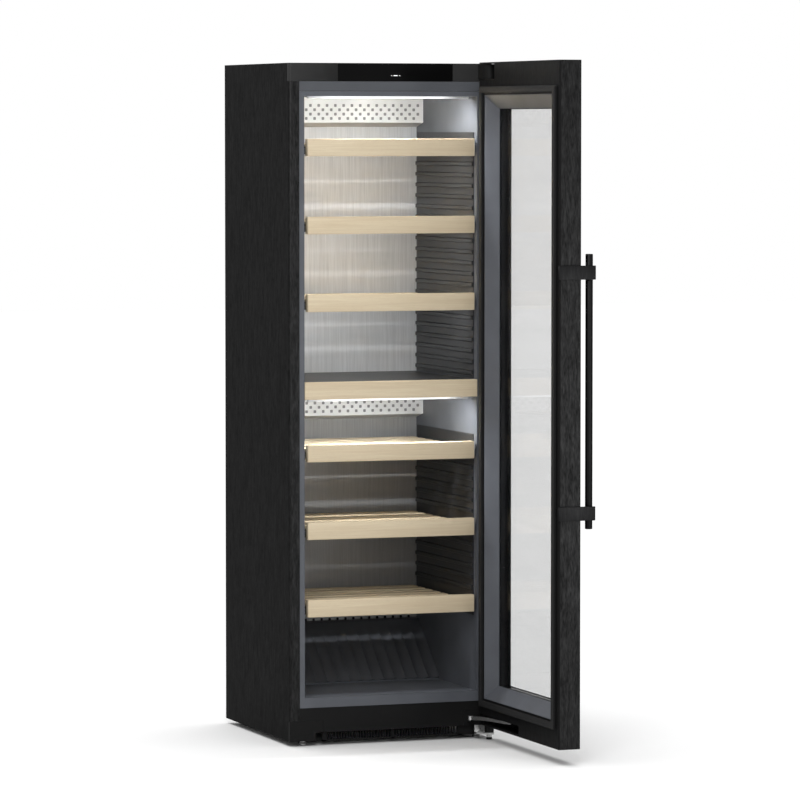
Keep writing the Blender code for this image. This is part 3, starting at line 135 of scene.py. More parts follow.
class Surface:
    """A Principled material under construction, whose patterns lie on object coordinates."""

    def __init__(self, name, colour, roughness=0.5, metallic=0.0, **sockets):
        self.material = bpy.data.materials.new(name)
        self.material.use_nodes = True
        self.tree = self.material.node_tree
        self.shader = self.tree.nodes["Principled BSDF"]
        self.place = self.tree.nodes.new("ShaderNodeTexCoord").outputs["Object"]
        self.set("Base Color", (*colour, 1.0))
        self.set("Roughness", roughness)
        self.set("Metallic", metallic)
        for socket, value in sockets.items():
            self.set(socket.replace("_", " "), value)
        self.material.diffuse_color = (*colour, 1.0)

    def set(self, socket, value):
        self.shader.inputs[socket].default_value = value

    def node(self, kind, *inputs, **properties):
        return new_node(self.tree, "ShaderNode" + kind, inputs, properties)

    def stretched(self, scale):
        return self.node("Mapping", ("Vector", self.place), ("Scale", scale)).outputs["Vector"]

    def noise(self, scale, detail, distortion=0.0):
        return self.node("TexNoise", ("Vector", self.stretched(scale)), ("Scale", 1.0),
                         ("Detail", detail), ("Distortion", distortion)).outputs["Fac"]

    def cells(self, scale):
        return self.node("TexVoronoi", ("Vector", self.stretched(scale)),
                         ("Scale", 1.0)).outputs["Distance"]

    def level(self, source, low, high, start=0.3, end=0.7):
        """A pattern's values brought into a range."""
        return self.node("MapRange", ("Value", source), ("From Min", start), ("From Max", end),
                         ("To Min", low), ("To Max", high)).outputs["Result"]

    def sum(self, first, second, operation="ADD"):
        return self.node("Math", (0, first), (1, second), operation=operation).outputs[0]

    def ramp(self, source, *stops):
        """Colours at places along a pattern's values."""
        made = self.node("ValToRGB", ("Fac", source))
        scale = made.color_ramp
        while len(scale.elements) < len(stops):
            scale.elements.new(0.5)
        for element, (place, colour) in zip(scale.elements, stops):
            element.position = place
            element.color = (*colour, 1.0)
        return made.outputs["Color"]

    def blend(self, share, first, second):
        """Two colours mixed by a share from 0 to 1."""
        first, second = ((*c, 1.0) if isinstance(c, tuple) else c for c in (first, second))
        return self.node("Mix", ("Factor", share), (6, first), (7, second),
                         data_type="RGBA").outputs[2]

    def drive(self, socket, source):
        self.tree.links.new(source, self.shader.inputs[socket])

    def relief(self, source, strength, distance):
        bump = self.node("Bump", ("Height", source), ("Strength", strength),
                         ("Distance", distance))
        self.drive("Normal", bump.outputs["Normal"])

def shades(colour, spread):
    """A darker and a lighter tone of a colour."""
    return tuple(c * (1 - spread) for c in colour), tuple(min(c * (1 + spread), 1) for c in colour)


def brushed(name, colour, roughness, spread, grain, edge, metallic=1.0):
    """Metal rubbed in one direction: fine hairlines over longer, softer strokes. Edge is how
    bright it turns where it is seen at a slant."""
    made = Surface(name, colour, roughness, metallic, Specular_Tint=(edge, edge, edge, 1.0))
    fine = made.noise(grain, 4.0)
    broad = made.noise(tuple(size / 3.5 for size in grain), 3.0, 0.6)
    stroke = made.sum(made.level(fine, 0.0, 0.5), made.level(broad, 0.0, 0.5))
    dark, light = shades(colour, spread)
    made.drive("Base Color", made.ramp(stroke, (0.15, dark), (0.85, light)))
    made.drive("Roughness", made.level(stroke, roughness * 1.15, roughness * 0.85, 0.0, 1.0))
    made.relief(stroke, 0.12, 0.0004)
    return made


def moulded(name, colour, roughness, gloss=0.5, grain=2600.0, spread=0.10, depth=0.00012):
    """Injection-moulded plastic: a fine spark texture and slow changes of tone."""
    made = Surface(name, colour, roughness, Specular_IOR_Level=gloss)
    texture = made.noise((grain,) * 3, 2.0)
    cloud = made.noise((9.0, 9.0, 9.0), 2.0)
    dark, light = shades(colour, spread)
    made.drive("Base Color", made.ramp(cloud, (0.3, dark), (0.7, light)))
    made.drive("Roughness", made.level(texture, roughness * 0.9, roughness * 1.12))
    made.relief(texture, 0.25, depth)
    return made


def plated(name, colour, roughness):
    """Bright zinc or chrome with faint polishing marks."""
    made = Surface(name, colour, roughness, 1.0)
    marks = made.noise((420.0, 420.0, 420.0), 5.0, 1.2)
    cloud = made.noise((60.0, 60.0, 60.0), 2.0)
    dark, light = shades(colour, 0.12)
    made.drive("Base Color", made.ramp(cloud, (0.3, dark), (0.7, light)))
    made.drive("Roughness", made.level(marks, roughness * 0.7, roughness * 1.4))
    return made


def galvanised(name):
    """Hot-dipped sheet with its spangle of flat crystals."""
    made = Surface(name, (0.42, 0.43, 0.44), 0.42, 1.0)
    spangle = made.cells((95.0, 95.0, 95.0))
    haze = made.noise((30.0, 30.0, 30.0), 4.0)
    tone = made.sum(made.level(spangle, 0.0, 0.6, 0.0, 1.0), made.level(haze, 0.0, 0.4))
    made.drive("Base Color", made.ramp(tone, (0.1, (0.33, 0.34, 0.35)), (0.9, (0.52, 0.53, 0.54))))
    made.drive("Roughness", made.level(tone, 0.30, 0.52, 0.0, 1.0))
    made.relief(spangle, 0.1, 0.0003)
    return made


def beech(name):
    """Pale beech with long, slightly wandering grain and short pores, lying along X."""
    made = Surface(name, (0.74, 0.60, 0.41), 0.46)
    rings = made.noise((2.2, 60.0, 60.0), 4.0, 1.4)
    lines = made.noise((9.0, 420.0, 420.0), 3.0, 0.5)
    pores = made.noise((70.0, 1500.0, 1500.0), 2.0)
    grain = made.sum(made.level(rings, 0.0, 0.62), made.level(lines, 0.0, 0.38))
    pale, deep = (0.86, 0.735, 0.525), (0.75, 0.61, 0.415)
    colour = made.ramp(grain, (0.12, deep), (0.55, tuple((a + b) / 2 for a, b in zip(pale, deep))),
                       (0.9, pale))
    pore = made.level(pores, 0.0, 0.35, 0.60, 0.78)
    made.drive("Base Color", made.blend(pore, colour, (0.50, 0.36, 0.21)))
    made.drive("Roughness", made.level(lines, 0.38, 0.55))
    made.relief(made.sum(grain, pore, "SUBTRACT"), 0.18, 0.0003)
    return made


def foam(name):
    """Poured insulation with a cratered, waxy skin."""
    made = Surface(name, (0.80, 0.70, 0.46), 0.85)
    bubbles = made.cells((260.0, 260.0, 260.0))
    flow = made.noise((14.0, 14.0, 14.0), 4.0, 1.0)
    made.drive("Base Color", made.ramp(flow, (0.3, (0.66, 0.54, 0.31)), (0.7, (0.86, 0.77, 0.55))))
    made.drive("Roughness", made.level(flow, 0.75, 0.95))
    made.relief(made.sum(bubbles, flow), 0.6, 0.0015)
    return made


def enamel(name, colour, roughness=0.32):
    """Stoved black paint with a slight orange peel."""
    made = Surface(name, colour, roughness, Specular_IOR_Level=0.35)
    peel = made.noise((320.0, 320.0, 320.0), 2.0)
    dust = made.noise((24.0, 24.0, 24.0), 5.0)
    dark, light = shades(colour, 0.25)
    made.drive("Base Color", made.ramp(dust, (0.35, dark), (0.7, light)))
    made.drive("Roughness", made.level(dust, roughness * 0.85, roughness * 1.3))
    made.relief(peel, 0.2, 0.0004)
    return made


def clear(name, tint):
    """Float glass, with a trace of haze from wiping."""
    made = Surface(name, tint, 0.0, Transmission_Weight=1.0, IOR=1.08)
    wiped = made.noise((5.0, 5.0, 40.0), 2.0, 0.8)
    made.drive("Roughness", made.level(wiped, 0.0, 0.012))
    thin, thick = shades(tint, 0.006)
    made.drive("Base Color", made.ramp(wiped, (0.3, thin), (0.7, thick)))
    return made


def glowing(name, half_length, centre, strength):
    """A frosted light bar whose glow fades at both ends."""
    made = Surface(name, (0.9, 0.92, 0.95), 0.35)
    along = made.node("SeparateXYZ", ("Vector", made.place)).outputs["X"]
    away = made.node("Math", (0, made.sum(along, -centre)), operation="ABSOLUTE").outputs[0]
    fade = made.level(away, 1.0, 0.10, half_length * 0.70, half_length * 0.92)
    frost = made.level(made.noise((90.0, 90.0, 90.0), 2.0), 0.94, 1.0)
    glow = made.ramp(made.sum(fade, frost, "MULTIPLY"), (0.0, (0.0, 0.0, 0.0)),
                     (1.0, (0.96, 0.98, 1.0)))
    made.drive("Emission Color", glow)
    made.set("Emission Strength", strength)
    return made


def door_skin(name, inner_plane):
    """Brushed black steel outside, and the black plastic tray that lines the door's inner side."""
    made = brushed(name, BLACK_STEEL, 0.44, 0.44, BLACK_GRAIN, BLACK_SLANT)
    across = made.node("SeparateXYZ", ("Vector", made.place)).outputs["X"]
    tray = made.sum(across, inner_plane + BLACK_RIM, "LESS_THAN")
    steel = made.shader.inputs["Base Color"].links[0].from_socket
    rough = made.shader.inputs["Roughness"].links[0].from_socket
    made.drive("Base Color", made.blend(tray, steel, (0.0075, 0.0075, 0.0078)))
    made.drive("Metallic", made.level(tray, 1.0, 0.0, 0.0, 1.0))
    made.set("Specular IOR Level", 0.2)
    made.drive("Roughness", made.sum(rough, made.level(tray, 0.0, 0.06, 0.0, 1.0)))
    return made


def make_finishes():
    """Every finish of the cooler by name."""
    led_low, led_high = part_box("led_strip_upper")
    half, centre = (led_high.x - led_low.x) / 2, (led_high.x + led_low.x) / 2
    recipes = {
        "black_steel": (brushed, BLACK_STEEL, 0.46, 0.44, BLACK_GRAIN, BLACK_SLANT),
        "black_steel_top": (brushed, BLACK_STEEL, 0.46, 0.44, TOP_GRAIN, BLACK_SLANT),
        "door_skin": (door_skin, DOOR_INSIDE),
        "stainless": (brushed, (0.76, 0.775, 0.79), 0.48, 0.10, STAINLESS_GRAIN, 1.0, 0.5),
        # a darker copy of the stainless: painted shade for the lower back plate, which lies in less
        # light
        "stainless_dim": (brushed, (0.40, 0.405, 0.41), 0.48, 0.10, STAINLESS_GRAIN, 1.0, 0.5),
        "black_handle": (brushed, (0.024, 0.024, 0.0245), 0.36, 0.18, (900.0, 900.0, 60.0), 0.3),
        "zinc": (plated, (0.92, 0.92, 0.91), 0.36),
        "chrome": (plated, (0.74, 0.74, 0.74), 0.12),
        "copper": (plated, (0.72, 0.32, 0.17), 0.28),
        "galvanised": (galvanised,),
        "black_moulding": (moulded, (0.010, 0.010, 0.0102), 0.50, 0.15),
        "charcoal_moulding": (moulded, (0.024, 0.025, 0.027), 0.40, 0.45),
        "panel_end": (moulded, (0.034, 0.034, 0.034), 0.42, 0.25, 3200.0),
        "grey_moulding": (moulded, (0.120, 0.128, 0.146), 0.42, 0.35),
        # a darker copy of the liner's grey: painted shade for the step cover low in the lower zone
        "cover_grey": (moulded, (0.085, 0.090, 0.101), 0.46, 0.35),
        "baffle_grey": (moulded, (0.26, 0.26, 0.262), 0.60),
        "trim_grey": (moulded, (0.105, 0.111, 0.124), 0.45, 0.25),
        "white_cover": (moulded, (0.80, 0.80, 0.79), 0.45),
        "display": (moulded, (0.0035, 0.0035, 0.0036), 0.12, 0.10, 60.0, 0.05, 0.00001),
        "rubber": (moulded, (0.014, 0.014, 0.0145), 0.68, 0.5, 1800.0),
        "foam": (foam,),
        "beech": (beech,),
        "enamel": (enamel, (0.012, 0.012, 0.0122)),
        "frit": (moulded, (0.008, 0.008, 0.008), 0.40, 0.15),
        "glass": (clear, (0.897, 0.898, 0.898)),
        "led_upper": (glowing, half, centre - 0.07 * half, 1.0),
        "led_lower": (glowing, half, centre, 1.0),
        "indicator": (glowing, 1.0, 0.0, 1.4),
    }
    return {name: make(name, *values) for name, (make, *values) in recipes.items()}

FINISHES = make_finishes()


# ---- mesh helpers ---------------------------------------------------------------------------

def piece(name, bm, finish, smooth=True):
    """A bmesh made into a finished object at the origin, its faces pointing out."""
    bmesh.ops.remove_doubles(bm, verts=bm.verts, dist=1e-6)
    bmesh.ops.recalc_face_normals(bm, faces=bm.faces)
    mesh = bpy.data.meshes.new(name)
    bm.to_mesh(mesh)
    bm.free()
    made = bpy.data.objects.new(name, mesh)
    bpy.context.scene.collection.objects.link(made)
    mesh.materials.append(FINISHES[finish].material)
    if smooth:
        mesh.shade_smooth()
        mesh.set_sharp_from_angle(angle=math.radians(32))
    return made


def settle(made, body, instead_of=None):
    """Let a piece ride on a body, in place of a plain node if one is named."""
    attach(made, body)
    if instead_of:
        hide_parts(instead_of)

def add_box(bm, low, high, edge=0.0, segments=2):
    """A box between two corners, its edges rounded if asked."""
    low, high = Vector(low), Vector(high)
    made = bmesh.ops.create_cube(bm, size=1.0)["verts"]
    size = Matrix.Diagonal((*(high - low), 1.0))
    bmesh.ops.transform(bm, matrix=Matrix.Translation((low + high) / 2) @ size, verts=made)
    if edge:
        edges = list({e for v in made for e in v.link_edges})
        bmesh.ops.bevel(bm, geom=edges, offset=edge, segments=segments, profile=0.5,
                        affect="EDGES")


def ring_points(radius, sides):
    return [(radius * math.cos(math.tau * step / sides), radius * math.sin(math.tau * step / sides))
            for step in range(sides)]


def frame_of(direction):
    """A turn that lays local Z along a direction."""
    return Vector(direction).to_track_quat("Z", "Y").to_matrix().to_4x4()


def add_lathe(bm, centre, direction, profile, sides=32):
    """A turned shape: (radius, height) pairs spun round a direction through the centre. Where the
    profile's two ends meet, it is a ring; elsewhere its ends are closed by faces."""
    place = Matrix.Translation(centre) @ frame_of(direction)
    rings = [[bm.verts.new(place @ Vector((x, y, height))) for x, y in ring_points(radius, sides)]
             for radius, height in profile]
    for lower, upper in zip(rings, rings[1:]):
        for step in range(sides):
            after = (step + 1) % sides
            bm.faces.new((lower[step], lower[after], upper[after], upper[step]))
    if profile[0] != profile[-1]:
        bm.faces.new(rings[0])
        bm.faces.new(rings[-1])


def add_prism(bm, outline, start, end, lay):
    """An outline of (a, b) pairs pushed from start to end; lay turns (a, b, c) into a point."""
    sides = [[bm.verts.new(lay(a, b, c)) for a, b in outline] for c in (start, end)]
    bm.faces.new(sides[0])
    bm.faces.new(sides[1])
    count = len(outline)
    for step in range(count):
        after = (step + 1) % count
        bm.faces.new((sides[0][step], sides[0][after], sides[1][after], sides[1][step]))


def add_tube(bm, points, radius, sides=12):
    """A round tube through points, with closed ends."""
    rings = []
    for step, point in enumerate(points):
        before, after = points[max(step - 1, 0)], points[min(step + 1, len(points) - 1)]
        place = Matrix.Translation(point) @ frame_of(after - before)
        rings.append([bm.verts.new(place @ Vector((x, y, 0))) for x, y in
                      ring_points(radius, sides)])
    for here, there in zip(rings, rings[1:]):
        twist = min(range(sides), key=lambda k: (there[k].co - here[0].co).length)
        for step in range(sides):
            after = (step + 1) % sides
            bm.faces.new((here[step], here[after], there[(after + twist) % sides],
                          there[(step + twist) % sides]))
        there[:] = there[twist:] + there[:twist]
    bm.faces.new(rings[0])
    bm.faces.new(rings[-1])


def curved(points, steps=8):
    """A smooth line through points."""
    points = [Vector(p) for p in points]
    ends = [2 * points[0] - points[1]] + points + [2 * points[-1] - points[-2]]
    line = []
    for a, b, c, d in zip(ends, ends[1:], ends[2:], ends[3:]):
        for step in range(steps):
            t = step / steps
            line.append(0.5 * ((2 * b) + (c - a) * t + (2 * a - 5 * b + 4 * c - d) * t * t
                               + (3 * b - a - 3 * c + d) * t ** 3))
    return line + [points[-1]]


# ---- Geometry Nodes -------------------------------------------------------------------------
class Growth:
    """A Geometry Nodes tree under construction, with named inputs."""

    def __init__(self, name):
        self.tree = bpy.data.node_groups.new(name, "GeometryNodeTree")
        face = self.tree.interface
        face.new_socket("Geometry", in_out="INPUT", socket_type="NodeSocketGeometry")
        face.new_socket("Geometry", in_out="OUTPUT", socket_type="NodeSocketGeometry")
        self.entry = self.tree.nodes.new("NodeGroupInput")
        self.values = {}

    def input(self, name, kind, value):
        made = self.tree.interface.new_socket(name, in_out="INPUT", socket_type="NodeSocket" + kind)
        self.values[made.identifier] = value
        return self.entry.outputs[name]

    def node(self, kind, *inputs, **properties):
        return new_node(self.tree, kind, inputs, properties)

    def math(self, operation, *sources):
        return self.node("ShaderNodeMath", *enumerate(sources), operation=operation).outputs[0]

    def finish(self, geometry, name, start, finish):
        """Realise the instances, lay on the material and return the plain mesh as a piece."""
        real = self.node("GeometryNodeRealizeInstances", ("Geometry", geometry)).outputs[0]
        weld = self.node("GeometryNodeMergeByDistance", ("Geometry", real), ("Distance", 1e-5))
        dress = self.node("GeometryNodeSetMaterial", ("Geometry", weld.outputs[0]),
                          ("Material", FINISHES[finish].material)).outputs[0]
        leave = self.tree.nodes.new("NodeGroupOutput")
        self.tree.links.new(dress, leave.inputs[0])
        host = bpy.data.objects.new(name + "_points", start)
        bpy.context.scene.collection.objects.link(host)
        modifier = host.modifiers.new("growth", "NODES")
        modifier.node_group = self.tree
        for identifier, value in self.values.items():
            modifier[identifier] = value
        view = bpy.context.evaluated_depsgraph_get()
        mesh = bpy.data.meshes.new_from_object(host.evaluated_get(view))
        bpy.data.objects.remove(host)
        bm = bmesh.new()
        bm.from_mesh(mesh)
        return piece(name, bm, finish)


def point_mesh(points):
    mesh = bpy.data.meshes.new("points")
    mesh.from_pydata([tuple(p) for p in points], [], [])
    return mesh


def unit_object(name, build):
    """A mesh that a tree repeats; it is removed once the tree has run."""
    bm = bmesh.new()
    build(bm)
    mesh = bpy.data.meshes.new(name)
    bmesh.ops.recalc_face_normals(bm, faces=bm.faces)
    bm.to_mesh(mesh)
    bm.free()
    made = bpy.data.objects.new(name, mesh)
    bpy.context.scene.collection.objects.link(made)
    return made


def repeated(name, points, direction, build, finish, scale=1.0, instead_of=None):
    """One small shape, drawn along local Z, set at each point and facing one direction."""
    unit = unit_object(name + "_unit", build)
    grow = Growth(name)
    shape = grow.input("Shape", "Object", unit)
    facing = grow.input("Facing", "Vector", tuple(direction))
    size = grow.input("Size", "Float", scale)
    turn = grow.node("FunctionNodeAlignEulerToVector", ("Vector", facing), axis="Z")
    info = grow.node("GeometryNodeObjectInfo", ("Object", shape))
    spots = grow.node("GeometryNodeMeshToPoints", ("Mesh", grow.entry.outputs["Geometry"]))
    copies = grow.node("GeometryNodeInstanceOnPoints", ("Points", spots.outputs[0]),
                       ("Instance", info.outputs["Geometry"]), ("Rotation", turn.outputs[0]),
                       ("Scale", size))
    made = grow.finish(copies.outputs[0], name, point_mesh(points), finish)
    bpy.data.objects.remove(unit)
    settle(made, "cabinet", instead_of)


def screw_head(bm):
    """A pan head with a cross recess, drawn at one metre per head radius."""
    add_lathe(bm, (0, 0, 0), (0, 0, 1), [(1.0, 0.0), (0.98, 0.22), (0.80, 0.45), (0.55, 0.55),
                                         (0.42, 0.57), (0.30, 0.30), (0.05, 0.18)], 20)
    for turn in (0, 1):
        arm = (0.62, 0.10) if turn == 0 else (0.10, 0.62)
        add_box(bm, (-arm[0] / 2, -arm[1] / 2, 0.50), (arm[0] / 2, arm[1] / 2, 0.575))



# ---- cabinet, carried over with better finishes ---------------------------------------------
CARRIED = {
    "black_steel_top": ("top_cover",),
    "door_skin": ("door_frame",),
    "galvanised": ("rear_panel", *(f"shelf_{n}_runners" for n in range(1, 7))),
    "stainless": ("back_plate_upper",),
    "foam": ("insulation_foam",),
    "grey_moulding": ("inner_liner", "door_inner_frame"),
    "trim_grey": ("top_rail",),
    "display": ("control_display",),
    "black_moulding": ("plinth", "foot_cover", "drip_tray", "hinge_cover", "power_inlet",
                       "condenser_fan", "evaporator_fan_upper", "evaporator_fan_lower",
                       "door_glass_spacer"),
    "charcoal_moulding": ("wall_rack_upper_left", "wall_rack_upper_right",
                          "wall_rack_lower_left", "wall_rack_lower_right", "zone_divider"),
    "glass": ("door_outer_glass", "door_inner_glass"),
    "zinc": ("bottom_hinge_bracket", "closing_arm"),
    "enamel": ("top_hinge_bracket", "base_pan"),
    "beech": ("divider_front",),
    "led_upper": ("led_strip_upper",),
    "led_lower": ("led_strip_lower",),
}


def dress_carried_nodes():
    for finish, nodes in CARRIED.items():
        for node in nodes:
            for slot in frame["nodes"][node].material_slots:
                slot.material = FINISHES[finish].material


def add_rounded_copy(node, name, finish, chosen):
    """The node's own shape with its chosen edges rounded over."""
    bm = bmesh.new()
    bm.from_mesh(frame["nodes"][node].data)
    bmesh.ops.remove_doubles(bm, verts=bm.verts, dist=1e-5)
    bmesh.ops.dissolve_limit(bm, angle_limit=math.radians(1), verts=bm.verts, edges=bm.edges)
    edges = [e for e in bm.edges if chosen(e.verts[0].co, e.verts[1].co)]
    bmesh.ops.bevel(bm, geom=edges, offset=CORNER_RADIUS, segments=5, profile=0.5,
                    affect="EDGES")
    settle(piece(name, bm, finish), "cabinet", node)


def add_outer_skins():
    """The side panels and the control panel's housing, with their outer front edges rounded."""
    def front_edge(side):
        return lambda a, b: all(abs(v.x - side) < SKIN_LIFT and abs(v.y - FRONT) < SKIN_LIFT
                                for v in (a, b))

    add_rounded_copy("side_panel_left", "left_skin", "black_steel",
                     front_edge(LEFT_LOW.x))
    add_rounded_copy("side_panel_right", "right_skin", "black_steel",
                     front_edge(RIGHT_HIGH.x))
    add_rounded_copy("control_housing", "panel_housing", "panel_end",
                     front_edge(LEFT_LOW.x))


# ---- inside the cabinet ---------------------------------------------------------------------
def holed_cell(bm, width, height, hole, sheet):
    """One cell of a perforated sheet facing -Y: a square hole with rounded corners, cut through.
    Its outer edge has a vertex only at each corner, so that neighbours weld."""
    corners = [(-width / 2, -height / 2), (width / 2, -height / 2), (width / 2, height / 2),
               (-width / 2, height / 2)]
    half, turn, arc = hole / 2, hole * 0.22, 4
    edge = []
    for quarter, (sx, sz) in enumerate(((-1, -1), (1, -1), (1, 1), (-1, 1))):
        for step in range(arc + 1):
            angle = math.pi + quarter * math.pi / 2 + step * math.pi / 2 / arc
            edge.append((sx * (half - turn) + turn * math.cos(angle),
                         sz * (half - turn) + turn * math.sin(angle)))
    count = len(edge)
    layers = []
    for y in (0.0, sheet):
        outer = [bm.verts.new((x, y, z)) for x, z in corners]
        inner = [bm.verts.new((x, y, z)) for x, z in edge]
        layers.append(inner)
        for quarter in range(4):
            start = quarter * (arc + 1)
            for step in range(arc):
                bm.faces.new((outer[quarter], inner[start + step + 1], inner[start + step]))
            after = (start + arc + 1) % count
            bm.faces.new((outer[quarter], outer[(quarter + 1) % 4], inner[after],
                          inner[start + arc]))
    for step in range(count):
        after = (step + 1) % count
        bm.faces.new((layers[0][step], layers[0][after], layers[1][after], layers[1][step]))


def plain_cell(bm, width, height, sheet):
    for y in (0.0, sheet):
        bm.faces.new([bm.verts.new((x, y, z)) for x, z in
                      ((-width / 2, -height / 2), (width / 2, -height / 2),
                       (width / 2, height / 2), (-width / 2, height / 2))])


def border(bm, left, right, low, high, xs, zs, y, sheet):
    """The plain rim of a perforated sheet, split where the cells' corners meet it."""
    columns, rows = [left, *xs, right], [low, *zs, high]

    def quad(a, b, c, d):
        for depth in (y, y + sheet):
            bm.faces.new([bm.verts.new((p[0], depth, p[1])) for p in (a, b, c, d)])

    for i in range(len(columns) - 1):
        for j in range(len(rows) - 1):
            rim = i in (0, len(columns) - 2) or j in (0, len(rows) - 2)
            if rim:
                quad((columns[i], rows[j]), (columns[i + 1], rows[j]),
                     (columns[i + 1], rows[j + 1]), (columns[i], rows[j + 1]))
    for line, fixed in ((columns, rows[0]), (columns, rows[-1])):
        for a, b in zip(line, line[1:]):
            bm.faces.new([bm.verts.new(p) for p in ((a, y, fixed), (b, y, fixed),
                                                    (b, y + sheet, fixed), (a, y + sheet, fixed))])
    for line, fixed in ((rows, columns[0]), (rows, columns[-1])):
        for a, b in zip(line, line[1:]):
            bm.faces.new([bm.verts.new(p) for p in ((fixed, y, a), (fixed, y, b),
                                                    (fixed, y + sheet, b), (fixed, y + sheet, a))])


def perforated(name, shell, centre, columns, rows, step, hole, sheet, finish, spread=2):
    """A sheet whose cells are holed on a chequerboard (spread 2) or everywhere (spread 1). Shell
    is the mesh that it is welded to."""
    holed = unit_object(name + "_holed", lambda bm: holed_cell(bm, *step, hole, sheet))
    plain = unit_object(name + "_plain", lambda bm: plain_cell(bm, *step, sheet))
    grow = Growth(name)
    shapes = [grow.input("Holed Cell", "Object", holed), grow.input("Plain Cell", "Object", plain)]
    across = grow.input("Columns", "Int", columns)
    down = grow.input("Rows", "Int", rows)
    place = grow.input("Centre", "Vector", tuple(centre))
    apart = grow.input("Spread", "Int", spread)
    width = grow.math("MULTIPLY", grow.math("SUBTRACT", across, 1.0), step[0])
    height = grow.math("MULTIPLY", grow.math("SUBTRACT", down, 1.0), step[1])
    grid = grow.node("GeometryNodeMeshGrid", ("Size X", width), ("Size Y", height),
                     ("Vertices X", across), ("Vertices Y", down))
    index = grow.node("GeometryNodeInputIndex").outputs[0]
    column = grow.math("FLOOR", grow.math("DIVIDE", grow.math("ADD", index, 0.5), down))
    row = grow.math("MODULO", index, down)
    odd = grow.math("MODULO", grow.math("ADD", grow.math("ADD", column, row), 1.0), apart)
    stand = grow.node("GeometryNodeTransform", ("Geometry", grid.outputs[0]),
                      ("Rotation", (math.pi / 2, 0.0, 0.0)), ("Translation", place)).outputs[0]
    cells = []
    for share, shape in ((grow.math("SUBTRACT", 1.0, odd), shapes[0]), (odd, shapes[1])):
        info = grow.node("GeometryNodeObjectInfo", ("Object", shape))
        cells.append(grow.node("GeometryNodeInstanceOnPoints", ("Points", stand),
                               ("Selection", share),
                               ("Instance", info.outputs["Geometry"])).outputs[0])
    whole = grow.node("GeometryNodeJoinGeometry")
    for source in (*cells, grow.entry.outputs["Geometry"]):
        grow.tree.links.new(source, whole.inputs[0])
    made = grow.finish(whole.outputs[0], name, shell, finish)
    for unit in (holed, plain):
        bpy.data.objects.remove(unit)
    return made


def cell_lines(centre, count, step):
    """Where the edges of the cells lie along one direction."""
    return [centre + (k - count / 2) * step for k in range(count + 1)]


def add_air_cover(node):
    """The pale perforated cover in front of an evaporator, its underside sloping to the back."""
    low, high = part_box(node)
    front_low = low.z + COVER_SLOPE
    middle = Vector(((low.x + high.x) / 2, low.y, high.z - HOLES_DOWN - 1.5 * HOLE_ROW))
    bm = bmesh.new()
    border(bm, low.x, high.x, front_low, high.z,
           cell_lines(middle.x, HOLE_COLUMNS, HOLE_HALF_PITCH),
           cell_lines(middle.z, HOLE_ROWS, HOLE_ROW), low.y, COVER_SHEET)
    under = [(low.y + COVER_SHEET, front_low), (high.y, low.z), (high.y, low.z + COVER_SHEET),
             (low.y + COVER_SHEET, front_low + COVER_SHEET)]
    add_prism(bm, under, low.x, high.x, lambda a, b, c: (c, a, b))
    for x in (low.x, high.x - COVER_SHEET):
        side = [(low.y + COVER_SHEET, front_low + COVER_SHEET), (high.y, low.z + COVER_SHEET),
                (high.y, high.z), (low.y + COVER_SHEET, high.z)]
        add_prism(bm, side, x, x + COVER_SHEET, lambda a, b, c: (c, a, b))
    shell = bpy.data.meshes.new(node + "_shell")
    bm.to_mesh(shell)
    bm.free()
    made = perforated(node + "_sheet", shell, middle, HOLE_COLUMNS, HOLE_ROWS,
                      (HOLE_HALF_PITCH, HOLE_ROW), HOLE_SIZE, COVER_SHEET, "white_cover")
    settle(made, "cabinet", node)
    bm = bmesh.new()
    half_high = HOLE_ROWS * HOLE_ROW / 2 + 0.004
    add_box(bm, (low.x + 0.004, low.y + BAFFLE_BEHIND, middle.z - half_high),
            (high.x - 0.004, low.y + BAFFLE_BEHIND + COVER_SHEET, middle.z + half_high), 0.0004, 1)
    settle(piece(node + "_baffle", bm, "baffle_grey", smooth=False), "cabinet")


def add_lower_back_plate():
    """The stainless plate behind the lower zone, with its row of drain holes near the step."""
    node = "back_plate_lower"
    low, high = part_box(node)
    sheet = high.y - low.y
    middle = Vector(((low.x + high.x) / 2, low.y, low.z + DRAIN_HEIGHT))
    bm = bmesh.new()
    border(bm, low.x, high.x, low.z, high.z, cell_lines(middle.x, DRAIN_HOLES, DRAIN_PITCH),
           cell_lines(middle.z, 1, DRAIN_CELL), low.y, sheet)
    shell = bpy.data.meshes.new(node + "_shell")
    bm.to_mesh(shell)
    bm.free()
    # the sheet takes the darker stainless copy, painted shade for the lower zone
    made = perforated(node + "_sheet", shell, middle, DRAIN_HOLES, 1, (DRAIN_PITCH, DRAIN_CELL),
                      DRAIN_SIZE, sheet, "stainless_dim", spread=1)
    settle(made, "cabinet", node)

    # black discs set into the drain holes from behind: painted shade for the dark space beyond the
    # holes
    def shade_disc(bm):
        add_lathe(bm, (0, 0, 0), (0, -1, 0),
                  [(0.0036, 0.0), (0.0036, 0.0009), (0.0031, 0.0009), (0.0028, 0.0003)], 20)

    spots = [(middle.x + (k - (DRAIN_HOLES - 1) / 2) * DRAIN_PITCH, high.y - SKIN_LIFT, middle.z)
             for k in range(DRAIN_HOLES)]
    repeated("drain_cups", spots, (0, 0, 1), shade_disc, "frit")


